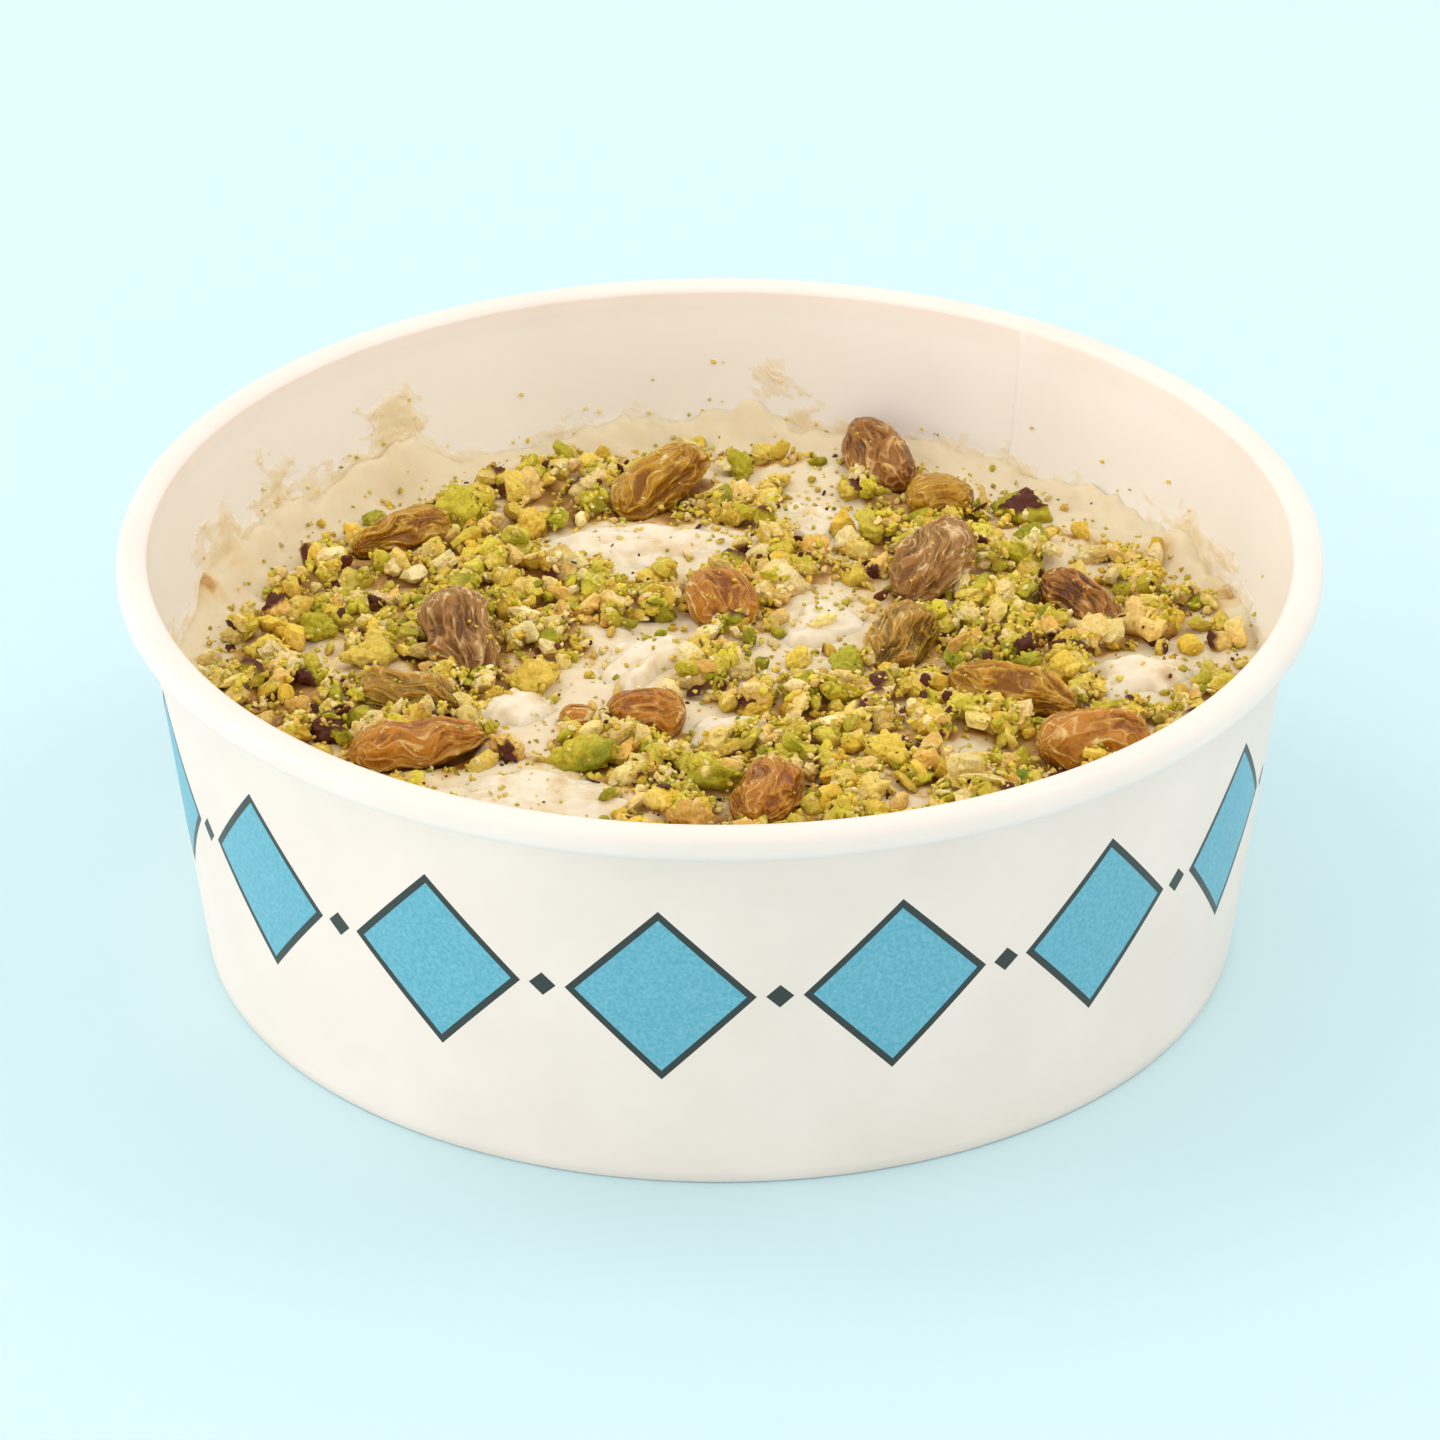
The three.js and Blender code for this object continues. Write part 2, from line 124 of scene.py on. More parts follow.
# Matrices for angles in radians: a roll about the length, then a lean, then a turn about the vertical.
def turnMatrix(turn, lean, roll):
    none, one = 0 * turn, 0 * turn + 1
    aboutX = np.array([[one, none, none], [none, np.cos(roll), -np.sin(roll)],
                       [none, np.sin(roll), np.cos(roll)]])
    aboutY = np.array([[np.cos(lean), none, np.sin(lean)], [none, one, none],
                       [-np.sin(lean), none, np.cos(lean)]])
    aboutZ = np.array([[np.cos(turn), -np.sin(turn), none], [np.sin(turn), np.cos(turn), none],
                       [none, none, one]])
    return np.einsum("ij...,jk...,kl...->...il", aboutZ, aboutY, aboutX)


# A mesh object from points in millimetres, quads and triangles, with values or colours by point.
def newPiece(name, points, quads, triangles, material, values=None, rounded=True):
    quads = np.asarray(quads, np.int32).reshape(-1, 4)
    triangles = np.asarray(triangles, np.int32).reshape(-1, 3)
    mesh = bpy.data.meshes.new(name)
    mesh.vertices.add(len(points))
    mesh.vertices.foreach_set("co", (np.asarray(points) * mm).astype(np.float32).ravel())
    mesh.loops.add(quads.size + triangles.size)
    mesh.loops.foreach_set("vertex_index", np.concatenate([quads.ravel(), triangles.ravel()]))
    mesh.polygons.add(len(quads) + len(triangles))
    starts = np.concatenate([np.arange(len(quads)) * 4, quads.size + np.arange(len(triangles)) * 3])
    mesh.polygons.foreach_set("loop_start", starts.astype(np.int32))
    mesh.update(calc_edges=True)
    mesh.polygons.foreach_set("use_smooth", np.zeros(len(mesh.polygons), bool) | rounded)
    for key, value in (values or {}).items():
        value = np.asarray(value, np.float32)
        if value.ndim == 2:
            layer = mesh.attributes.new(key, "FLOAT_COLOR", "POINT")
            layer.data.foreach_set("color", np.column_stack([value, np.ones(len(value))]).ravel())
        else:
            layer = mesh.attributes.new(key, "FLOAT", "POINT")
            layer.data.foreach_set("value", value)
    mesh.materials.append(material)
    piece = bpy.data.objects.new(name, mesh)
    bpy.context.scene.collection.objects.link(piece)
    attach(piece, "root")
    return piece


view = {"distance": 1155.4, "elevation": 28.79, "aimHeight": 28.4, "lens": 229.9}
light = {
    "sky": "#fffaf5", "skyStrength": 1.06,
    "lamps": [  # place in metres, size, power and colour
        {"place": (-0.7, 0.3, 1.25), "size": 0.5, "power": 1.7, "colour": "#fff0e0"},
        {"place": (0.85, 0.15, 1.2), "size": 0.6, "power": 2.1, "colour": "#fff2e2"},
        {"place": (-1.35, -0.15, 0.2), "size": 0.5, "power": 5.2, "colour": "#fff2ea"},
        {"place": (0.15, -1.35, 0.32), "size": 0.8, "power": 1.0, "colour": "#ffc4a0"},
    ],
}
floorLooks = {"halfSize": 3.0, "colour": "#ceedf7"}


# Turns an sRGB hex colour to linear light.
def colour(text):
    parts = [int(text[i:i + 2], 16) / 255 for i in (1, 3, 5)]
    return tuple(p / 12.92 if p <= 0.04045 else ((p + 0.055) / 1.055) ** 2.4 for p in parts) + (1.0,)


# Adds a node with its settings and links. Inputs go by name, or by place in a list, and one that is
# a node or a node's output is linked. Stops are the places and hex colours of a colour ramp.
def addNode(tree, kind, inputs=(), stops=(), **settings):
    node = tree.nodes.new("ShaderNode" + kind)
    for key, value in settings.items():
        setattr(node, key, value)
    for key, value in inputs.items() if isinstance(inputs, dict) else enumerate(inputs):
        if isinstance(value, bpy.types.Node):
            value = value.outputs[0]
        if isinstance(value, bpy.types.NodeSocket):
            tree.links.new(value, node.inputs[key])
        else:
            node.inputs[key].default_value = value
    for extra in stops[2:]:
        node.color_ramp.elements.new(0.5)
    for number, (place, shade) in enumerate(stops):
        node.color_ramp.elements[number].position = place
        node.color_ramp.elements[number].color = colour(shade)
    return node


# A material with its shader's own values, its node tree and the output that gives an object's points.
def newMaterial(name, **shaderInputs):
    material = bpy.data.materials.new(name)
    material.use_nodes = True
    tree = material.node_tree
    for key, value in shaderInputs.items():
        tree.nodes["Principled BSDF"].inputs[key.replace("_", " ")].default_value = value
    return material, tree, addNode(tree, "TexCoord").outputs["Object"]


# Links what gives a material its colour and, through a bump of a depth in metres, its relief.
def finishMaterial(material, shade, relief=None, strength=0.0, depth=0.0):
    tree = material.node_tree
    shader = tree.nodes["Principled BSDF"]
    tree.links.new(shade, shader.inputs["Base Color"])
    if relief is not None:
        bump = addNode(tree, "Bump", {"Height": relief, "Strength": strength, "Distance": depth})
        tree.links.new(bump.outputs[0], shader.inputs["Normal"])
    return material


# The camera that the outline in the photo gives: so far off, so high, aimed at a height.
def placeCamera():
    camera = bpy.data.objects.new("camera", bpy.data.cameras.new("camera"))
    camera.data.lens = view["lens"]
    camera.data.sensor_width = 36
    tilt = math.radians(view["elevation"])
    camera.location = (0, -view["distance"] * math.cos(tilt) * mm,
                       (view["distance"] * math.sin(tilt) + view["aimHeight"]) * mm)
    camera.rotation_euler = (math.pi / 2 - tilt, 0, 0)
    bpy.context.scene.collection.objects.link(camera)
    bpy.context.scene.camera = camera
    bpy.context.scene.view_settings.view_transform = "Standard"


# An even sky and round soft lamps, each turned to the middle of the bowl.
def placeLights():
    world = bpy.data.worlds.new("studio")
    world.use_nodes = True
    sky = world.node_tree.nodes["Background"]
    sky.inputs["Color"].default_value = colour(light["sky"])
    sky.inputs["Strength"].default_value = light["skyStrength"]
    bpy.context.scene.world = world
    for number, lamp in enumerate(light["lamps"]):
        data = bpy.data.lights.new("softbox%d" % number, "AREA")
        data.shape = "DISK"
        data.size = lamp["size"]
        data.energy = lamp["power"]
        data.color = colour(lamp["colour"])[:3]
        holder = bpy.data.objects.new(data.name, data)
        holder.location = lamp["place"]
        away = holder.location.copy()
        away.z -= bowl["height"] * mm / 2
        holder.rotation_euler = away.to_track_quat("Z", "Y").to_euler()
        bpy.context.scene.collection.objects.link(holder)


# A square of card under the bowl, so large that it fills the view.
def placeFloor():
    material = newMaterial("cardBackdrop", Roughness=0.85, Specular_IOR_Level=0.2,
                           Base_Color=colour(floorLooks["colour"]))[0]
    half = floorLooks["halfSize"]
    mesh = bpy.data.meshes.new("floor")
    mesh.from_pydata([(-half, -half, 0), (half, -half, 0), (half, half, 0), (-half, half, 0)], [],
                     [(0, 1, 2, 3)])
    mesh.materials.append(material)
    floor = bpy.data.objects.new("floor", mesh)
    bpy.context.scene.collection.objects.link(floor)


bowl = {
    "rimRadius": 75.0, "height": 54.0, "footRadius": 64.8, "rollWidth": 3.6, "rollHeight": 3.9,
    "board": 0.6, "hemWidth": 2.3, "hemHeight": 6.1, "gap": 0.35,
    "seamAngle": 56.7, "seamLap": 6.5, "seamStep": 0.45,
    "around": 480, "wallSteps": 34, "rollSteps": 40,
    "rollTurn": (-66, 150), "rollPower": 0.72,   # where the roll starts and ends, how square it is
    "rollInward": 1.25,   # the roll is fuller on its inner side
    "rollTuck": 0.8,      # how far above the wall's top its inner face starts
    "footBend": 0.35, "hemBend": 0.3,   # how round the folds at the foot are
    "outside": (1.0, 0.7, 0.0, 0.5),    # how far wall, roll, inner face and hem count as outside
    "unevenness": 0.14,   # how far the paper strays from round
}
printLooks = {
    "blue": "#5aaac2", "speck": "#79bfd2", "line": "#2a3532", "count": 15, "middle": 28.4,
    "halfHeight": 12.6, "halfWidth": 11.6, "lineWidth": 0.9, "dot": 1.7,
}


# Radius of the wall's outer face at a height: a straight line from the foot to under the roll.
def wallOutside(z):
    top = bowl["rimRadius"] - bowl["rollWidth"] + 0.3
    return bowl["footRadius"] + (top - bowl["footRadius"]) * z / (bowl["height"] - bowl["rollHeight"])


# How far the lapped sheet stands in at an angle in degrees: a slow rise and a sharp step down.
def lapInset(angle):
    within = (angle % 360 - (bowl["seamAngle"] - bowl["seamLap"])) / bowl["seamLap"]
    return bowl["seamStep"] * smooth(within) * (within <= 1)


# Radius of the wall's inner face, with the lap, at a height and an angle in radians.
def wallInside(z, angle):
    return wallOutside(z) - bowl["board"] - lapInset(np.degrees(angle))


# How far the paper strays from round at angles in radians and heights: soft noise round the bowl.
def wallStray(angle, height):
    circle = np.stack([np.cos(angle) * 6 + 0 * height, np.sin(angle) * 6 + 0 * height,
                       height * 0.02 + 0 * angle], -1)
    return bowl["unevenness"] * layeredNoise(circle, 2.6, 31, 3) * smooth(height / 12)


# Angles round the bowl in degrees, with two close ones at the step of the lap.
def bowlAngles():
    even = np.arange(bowl["around"]) * 360 / bowl["around"]
    step = bowl["seamAngle"] + np.array([-0.02, 0.03])
    return np.sort(np.concatenate([even, step]))


# The wall's section (outer face up, round the roll, inner face down, hem) carried round the bowl.
# The roll is a superellipse: cosine and sine raised to a power below 1.
def makeBowlSide():
    under = bowl["height"] - bowl["rollHeight"]
    outerZ = np.linspace(bowl["footBend"], under, bowl["wallSteps"])
    turn = np.radians(np.linspace(*bowl["rollTurn"], bowl["rollSteps"]))
    across, up = [np.sign(part) * np.abs(part) ** bowl["rollPower"]
                  for part in (np.cos(turn), np.sin(turn))]
    across = np.where(across < 0, bowl["rollInward"] * across, across)
    rollR = bowl["rimRadius"] - bowl["rollWidth"] / 2 * (1 - across)
    rollZ = bowl["height"] - bowl["rollHeight"] / 2 * (1 - up)
    innerZ = np.linspace(under + bowl["rollTuck"], bowl["hemHeight"], bowl["wallSteps"])
    bend, top = bowl["hemBend"], bowl["hemHeight"]
    hemTopR, hemFootR = wallOutside(top) - bowl["hemWidth"], bowl["footRadius"] - bowl["hemWidth"]
    hemR, hemZ = np.transpose([(hemTopR + bend, top), (hemTopR, top - bend), (hemFootR, bend),
                               (hemFootR + bend, 0), (bowl["footRadius"] - bowl["footBend"], 0)])
    r = np.concatenate([wallOutside(outerZ), rollR, wallOutside(innerZ) - bowl["board"], hemR])
    z = np.concatenate([outerZ, rollZ, innerZ, hemZ])
    kinds = np.repeat(bowl["outside"], [len(outerZ), len(rollR), len(innerZ), len(hemR)])
    angle = bowlAngles()
    section, round_ = np.meshgrid(np.arange(len(r)), angle, indexing="ij")
    a = np.radians(round_)
    height = z[section]
    radius = r[section] - (kinds[section] == 0) * lapInset(round_) + wallStray(a, height)
    radius = np.minimum(radius, bowl["rimRadius"] - 0.01)      # a hair inside the solid's box
    points = np.stack([*ringPlaces(radius, a), height], -1)
    points = np.concatenate([points, points[:1]])
    quads = wrappedQuads(len(points), len(angle))
    # the last row is the first row again, so the section closes on itself
    quads = quads % (len(r) * len(angle))
    piece = newPiece("bowlSide", points[:-1].reshape(-1, 3), quads[:, ::-1], [], paperBoard(),
                     {"outside": kinds[section].ravel()})
    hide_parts("bowl_side")


# Coated paper board, pressed and rolled: smooth, nearly matt, with faint fibres and soft dents. Its outer
# face is painted darker and warmer than its inner face, as painted shade and painted warm light.
# The printed band is a row of plain blue diamonds with dark outlines and small dark dots between.
def paperBoard():
    material, tree, place = newMaterial("coatedPaperBoard", Roughness=0.42, IOR=1.47, Coat_Weight=0.12,
                                        Coat_Roughness=0.35)
    cloud = addNode(tree, "TexNoise", {"Vector": place, "Scale": 60.0, "Detail": 3.0})
    outside = addNode(tree, "Attribute", attribute_name="outside").outputs["Fac"]
    # outer face: the same board painted darker and warmer, as painted shade and painted warm light on the
    # outer wall
    shadedOuter = addNode(tree, "ValToRGB", [cloud], [(0.3, "#efe3d9"), (0.7, "#f6eae1")])
    inner = addNode(tree, "ValToRGB", [cloud], [(0.3, "#f6f5f2"), (0.7, "#faf9f7")])
    white = addNode(tree, "Mix", {"Factor": outside, 6: inner, 7: shadedOuter}, data_type="RGBA").outputs[2]
    axes = addNode(tree, "SeparateXYZ", [place]).outputs
    pitch = tau * wallOutside(printLooks["middle"]) / printLooks["count"]
    line = printLooks["lineWidth"] * math.hypot(1 / printLooks["halfWidth"], 1 / printLooks["halfHeight"])
    # arithmetic step by step, each from numbers, sockets or steps before it, in millimetres
    step = {"x": axes[0], "y": axes[1], "z": axes[2], "outside": outside}
    for name, operation, *values in [
            ("angle", "ARCTAN2", "y", "x"),
            ("turns", "MULTIPLY", "angle", printLooks["count"] / tau),
            ("cell", "PINGPONG", "turns", 0.5),
            ("side", "MULTIPLY", "cell", pitch),
            ("height", "MULTIPLY", "z", 1 / mm),
            ("off", "SUBTRACT", "height", printLooks["middle"]),
            ("offSize", "ABSOLUTE", "off"),
            ("across", "DIVIDE", "side", printLooks["halfWidth"]),
            ("diamond", "MULTIPLY_ADD", "offSize", 1 / printLooks["halfHeight"], "across"),
            ("inDiamond", "LESS_THAN", "diamond", 1.0),
            ("inBlue", "LESS_THAN", "diamond", 1.0 - line),
            ("fromDot", "SUBTRACT", "side", pitch / 2),
            ("dotReach", "ABSOLUTE", "fromDot"),
            ("dotShare", "ADD", "dotReach", "offSize"),
            ("inDot", "LESS_THAN", "dotShare", printLooks["dot"]),
            ("dark", "MAXIMUM", "inDiamond", "inDot"),
            ("onWall", "GREATER_THAN", "outside", 0.75),
            ("darkShare", "MULTIPLY", "dark", "onWall"),
            ("blueShare", "MULTIPLY", "inBlue", "onWall")]:
        step[name] = addNode(tree, "Math", [step.get(value, value) for value in values],
                             operation=operation).outputs[0]
    # ink specks 0.5 mm across, where the paper's grain lets the white through
    speck = addNode(tree, "TexNoise", {"Vector": place, "Scale": 2000.0, "Detail": 2.0})
    ink = addNode(tree, "ValToRGB", [speck], [(0.35, printLooks["blue"]), (0.75, printLooks["speck"])])
    lined = addNode(tree, "Mix", {"Factor": step["darkShare"], 6: white, 7: colour(printLooks["line"])},
                    data_type="RGBA").outputs[2]
    printed = addNode(tree, "Mix", {"Factor": step["blueShare"], 6: lined, 7: ink},
                      data_type="RGBA").outputs[2]
    # paper fibres about 0.4 mm wide
    fibre = addNode(tree, "TexNoise", {"Vector": place, "Scale": 2500.0, "Detail": 3.0}).outputs[0]
    return finishMaterial(material, printed, fibre, 0.12, 0.00006)


food = {
    "level": 33.6, "mound": 1.2, "climbDepth": 4.2, "around": 560, "rings": 128, "wallRings": 12,
    "lump": 0.5, "grain": 0.42, "edgeLump": 0.7, "ragged": 0.75, "intoWall": 0.3,
    "crowding": 1.25,    # above 1, the rings lie closer together near the wall
    "creamRoom": 0.35, "raisinRoom": 0.5,      # how far the food stays under cream and raisins
    # how creamy and pale the pudding is by point, with painted shade that darkens it under the nuts
    "creamy": {"plain": 0.52, "broad": 0.7, "fine": 0.5, "atWall": 0.6, "inPale": 0.6, "shadeUnderNuts": 0.32},
    "climbs": [  # film on the wall: degrees from +X, how high, half its width in degrees
        (128.6, 6.2, 7), (148, 5, 9), (160, 2.6, 6), (100, 3.8, 5), (88, 4.4, 6), (80, 2.4, 5),
        (63, 2.6, 8), (45, 3.4, 8), (28, 2.6, 10), (182, 1.6, 12), (216, 2.2, 8), (252, 1.6, 9),
        (303, 2.2, 10)],
}
creamSink = 1.5      # how deep cream lies in the pudding
creamEdge = 0.1      # half the thickness of its edge
creamPlaces = [  # middle, length and width, turn in degrees, rise
    ((-10.6, 35.2), (22, 12), 4, 1.3), ((-9.5, 3.4), (15, 10.5), 62, 1.5),
    ((-25.4, -8.6), (11.5, 8), 40, 1.2), ((-21.5, -31.5), (25, 12), -12, 1.2),
    ((13.2, 13.4), (12, 9), 20, 1.2), ((12.2, 42.8), (12, 9), -20, 1.3),
    ((1.8, -14.6), (11, 7), -6, 1.1), ((52.6, 0.4), (12, 11), 30, 1.3),
]
raisinPlaces = [  # middle, size along, across and deep, turn, lean, roll, kind of skin, wrinkle depth
    ((20.8, 57.6, 36.3), (13.5, 7.6, 6.4), 119, 14, 10, "brown", 0.34),
    ((-7.6, 49.4, 36.6), (16.4, 7.8, 6.4), 51, 10, 20, "golden", 0.36),
    ((-41.1, 36.8, 35.6), (14.2, 6.4, 5.2), 33, 3, 0, "golden", 0.3),
    ((-32.7, 6.6, 36.9), (15.4, 8.2, 6.6), 102, 21, 0, "beige", 0.46),
    ((-38.7, -6.5, 35.4), (14.6, 6.4, 5.0), -26, 0, 15, "olive", 0.5),
    ((-37.4, -20.1, 36.0), (17.2, 8.2, 6.2), 16, 2, -10, "amber", 0.34),
    ((0.0, 16.7, 36.6), (10.8, 8.2, 6.8), 111, 14, 0, "amber", 0.2),
    ((-9.2, -11.9, 35.8), (10.0, 8.4, 6.6), 5, 0, 0, "amber", 0.32),
    ((-17.4, -12.2, 35.2), (5.2, 4.2, 3.2), -10, 0, 0, "amber", 0.2),
    ((27.2, 24.8, 37.7), (14.8, 8.2, 6.8), 62, 20, 0, "beige", 0.48),
    ((23.0, 7.6, 35.8), (12.4, 7.0, 5.6), 68, 10, 0, "olive", 0.5),
    ((28.5, 46.6, 35.7), (9.0, 7.6, 5.8), 8, 0, 0, "golden", 0.24),
    ((45.4, 17.2, 35.9), (13.0, 6.8, 5.6), -50, -8, 10, "brown", 0.34),
    ((36.6, -6.0, 36.1), (17.4, 7.2, 6.0), -28, 0, 0, "golden", 0.4),
    ((46.1, -19.4, 36.3), (14.0, 9.4, 7.2), 13, 3, 0, "amber", 0.34),
    ((5.8, -33.0, 36.3), (13.0, 8.6, 6.4), 78, 2, -15, "amber", 0.36),
    ((-22.5, -47.5, 35.9), (14.0, 7.4, 6.0), 140, 0, 0, "golden", 0.36),
    ((24.5, -50.5, 35.5), (12.6, 7.0, 5.8), 25, 0, 10, "brown", 0.36),
    ((-2.5, -57.0, 35.0), (10.4, 6.8, 5.4), -12, 0, 0, "amber", 0.3),
]


# Height of the film on the wall at an angle in degrees: a bell for each climb.
def climbHeight(degrees, widen=1.0):
    total = 0
    for middle, height, spread in food["climbs"]:
        away = (degrees - middle + 540) % 360 - 180
        total = total + height * np.exp(-(away / (widen * spread)) ** 2)
    return total


# Height of the pudding without its nuts, as in the part: a low mound, slow waves, film up the wall.
def puddingTop(x, y, ragged=0.0):
    r = np.hypot(x, y)
    edge = wallOutside(food["level"]) - bowl["board"]
    waves = (0.45 * np.cos(0.13 * x + 0.6) * np.cos(0.16 * y - 0.4)
             + 0.3 * np.cos(0.31 * x - 0.22 * y + 1.7) + 0.2 * np.cos(0.35 * x + 0.47 * y))
    nearWall = smooth((r - edge + food["climbDepth"]) / food["climbDepth"])
    film = climbHeight(np.degrees(np.arctan2(y, x)))
    return food["level"] + food["mound"] * (1 - (r / edge) ** 2) + waves + film * nearWall * (1 + ragged)


# A point in a turned oval's own frame, in half lengths and half widths.
def ovalFrame(x, y, middle, size, turn, margin=0.0):
    c, s = math.cos(math.radians(turn)), math.sin(math.radians(turn))
    dx, dy = x - middle[0], y - middle[1]
    return (dx * c + dy * s) / (size[0] / 2 + margin), (dy * c - dx * s) / (size[1] / 2 + margin)


# How far out a point lies in a turned oval: 0 in the middle, 1 on its outline.
def ovalShare(x, y, middle, size, turn, margin=0.0):
    return np.hypot(*ovalFrame(x, y, middle, size, turn, margin))


# A cream patch's outline at an angle: an oval made wavy by three cosines, as in the part.
def creamOutline(number, angle):
    return (1 + 0.13 * np.cos(2 * angle + number) + 0.1 * np.cos(3 * angle + 2 * number)
            + 0.06 * np.cos(5 * angle + number))


# How far out a point lies in a cream patch with its wavy outline.
def creamShare(x, y, number):
    along, across = ovalFrame(x, y, *creamPlaces[number][:3])
    return np.hypot(along, across) / creamOutline(number, np.arctan2(across, along))


# Unevenness of the pudding: lumps and a finer grain.
def lumps(plan):
    return food["lump"] * layeredNoise(plan, 7.0, 11, 3) + food["grain"] * layeredNoise(plan, 1.8, 21, 3)


# The pudding as it shows: lumps on the plain height, hollows under cream and raisins.
def foodTop(x, y):
    plan = flat(x, y)
    r = np.hypot(x, y)
    ragged = food["ragged"] * layeredNoise(plan, 4.2, 51, 4) - 0.1
    top = puddingTop(x, y, ragged) + lumps(plan)
    top += food["edgeLump"] * layeredNoise(plan, 2.6, 27, 3) * smooth((r - 55) / 6)
    for number in range(len(creamPlaces)):
        share = creamShare(x, y, number)
        hollow = puddingTop(x, y) - creamSink * np.clip(1 - share ** 4, 0, 1) - food["creamRoom"]
        top = np.where(share < 0.82, np.minimum(top, hollow), top)
    for middle, size, turn, lean, roll, kind, depth in raisinPlaces:
        along, across = ovalFrame(x, y, middle, size, turn)
        share = np.hypot(along, across)
        under = (middle[2] + along * size[0] / 2 * math.tan(math.radians(lean))
                 - size[2] / 2 * np.sqrt(np.clip(1 - share ** 2, 0, 1)) - food["raisinRoom"])
        top = np.where(share < 1.02, np.minimum(top, under), top)
    return top


# Rings of points over the food out to the wall, then down the wall and across the base.
def makePudding(material):
    angle = evenAngles(food["around"])
    edge = np.full(len(angle), wallOutside(food["level"]) - bowl["board"])
    for again in range(3):      # the wall leans out, so the edge follows the food's height there
        edge = wallInside(foodTop(*ringPlaces(edge, angle)), angle) + food["intoWall"]
    part = np.linspace(0, 1, food["rings"] + 1)[1:]
    part = 1 - (1 - part) ** food["crowding"]
    x, y = ringPlaces(part[:, None] * edge, angle)
    z = foodTop(x, y)
    down = np.linspace(1, 0, food["wallRings"] + 1)[1:, None]
    low = bowl["hemHeight"] + bowl["board"] + 2 * bowl["gap"]
    sideZ = low + down * (z[-1] - low)
    side = [*ringPlaces(wallInside(sideZ, angle) - bowl["gap"], angle), sideZ]
    points = np.stack([np.concatenate(both) for both in zip((x, y, z), side)], -1)
    rows = len(points)
    points = np.concatenate([points.reshape(-1, 3), [(0, 0, foodTop(*np.zeros((2, 1)))[0]), (0, 0, low)]])
    x, y = points[:, :2].T
    looks = food["creamy"]
    # creaminess by point, less painted shade where nuts cover the pudding
    creamy = (looks["plain"] + looks["broad"] * layeredNoise(flat(x, y), 11.0, 61, 3)
              + looks["fine"] * layeredNoise(flat(x, y), 2.6, 71, 3)
              + looks["atWall"] * smooth((np.hypot(x, y) - 60) / 5)
              + looks["inPale"] * paleness(x, y) - looks["shadeUnderNuts"] * nutShare(x, y))
    piece = newPiece("pudding", points, *closedFaces(rows, len(angle)), material,
                     {"creamy": np.clip(creamy, 0, 1)})
    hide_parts("pudding")
    print("pudding", len(points), "points")


filmLooks = {"around": 720, "rows": 46, "below": 2.0, "above": 13.0, "cover": 0.22, "widen": 1.3,
             "thin": 0.015, "thick": 0.3, "behind": 0.2}


# Height of the food's edge against the wall at angles in radians.
def edgeHeight(angle):
    return foodTop(*ringPlaces(wallOutside(food["level"] + 2) - bowl["board"], angle))


# Smears of milk left on the wall above the food: where noise, less a part that grows with height,
# is above a limit, a thin sheet stands in from the wall; it is thickest where the noise is highest.
def makeWallFilm():
    angle = evenAngles(filmLooks["around"])
    rise = np.linspace(-filmLooks["below"], filmLooks["above"], filmLooks["rows"])[:, None]
    z = rise + edgeHeight(angle)
    wall = wallInside(z, angle) + wallStray(angle, z)
    circle = np.stack([*ringPlaces(wall, angle), z * 1.3], -1)
    climb = climbHeight(np.degrees(angle), filmLooks["widen"])
    smear = (layeredNoise(circle, 7.0, 201, 4) + 0.55 * layeredNoise(circle, 1.6, 211, 3)
             + filmLooks["cover"] - 0.12 * smooth(np.cos(angle - 1.15) * 3 - 1.8) + 0.05 * climb
             - rise * (0.16 - 0.012 * np.minimum(climb, 7)))
    holds = smear > 0
    shown = holds[:-1] & holds[1:] & np.roll(holds, -1, 1)[:-1] & np.roll(holds, -1, 1)[1:]
    thick = (filmLooks["thin"] + filmLooks["thick"] * smooth(smear / 0.7)
             * (1 + 0.5 * layeredNoise(circle, 1.2, 221, 2)))
    front, back = (np.stack([*ringPlaces(r, angle), z], -1).reshape(-1, 3)
                   for r in (wall - thick, wall + filmLooks["behind"]))
    size, columns = smear.size, len(angle)
    grid = wrappedQuads(*smear.shape)[shown.ravel()]
    # where a face has no neighbour, a side joins the sheet's front and back
    sides = []
    hidden = ~shown
    corner = np.arange(size).reshape(smear.shape)
    here, up = corner[:-1], corner[1:]
    nextHere, nextUp = np.roll(here, -1, 1), np.roll(up, -1, 1)
    below = np.concatenate([np.ones((1, columns), bool), hidden[:-1]])
    above = np.concatenate([hidden[1:], np.ones((1, columns), bool)])
    for bare, start, end in ((below, here, nextHere), (above, nextUp, up),
                             (np.roll(hidden, 1, 1), up, here), (np.roll(hidden, -1, 1), nextHere, nextUp)):
        chosen = shown & bare
        sides.append(np.stack([start[chosen], start[chosen] + size, end[chosen] + size, end[chosen]], -1))
    quads = np.concatenate([grid, grid[:, ::-1] + size] + sides)
    used = np.unique(quads)
    place = np.zeros(2 * size, int)
    place[used] = np.arange(len(used))
    points = np.concatenate([front, back])[used]
    full = np.tile(smooth(smear / 0.9).ravel(), 2)[used]
    piece = newPiece("wallFilm", points, place[quads], [], driedMilk(), {"full": full}, rounded=False)
    print("wallFilm", len(quads), "faces")


# Dried milk: the skin that boiled milk leaves on a wall, dull, and creamier where it is thick.
def driedMilk():
    material, tree, place = newMaterial("driedMilk", Roughness=0.5, IOR=1.42)
    full = addNode(tree, "Attribute", attribute_name="full").outputs["Fac"]
    patch = addNode(tree, "TexNoise", {"Vector": place, "Scale": 420.0, "Detail": 4.0})
    share = addNode(tree, "Math", [patch, 0.7, full], operation="MULTIPLY_ADD")
    shade = addNode(tree, "ValToRGB", [share], [(0.3, "#f6f0e4"), (0.62, "#f2e8d0"), (0.9, "#ecddba")])
    return finishMaterial(material, shade.outputs[0])
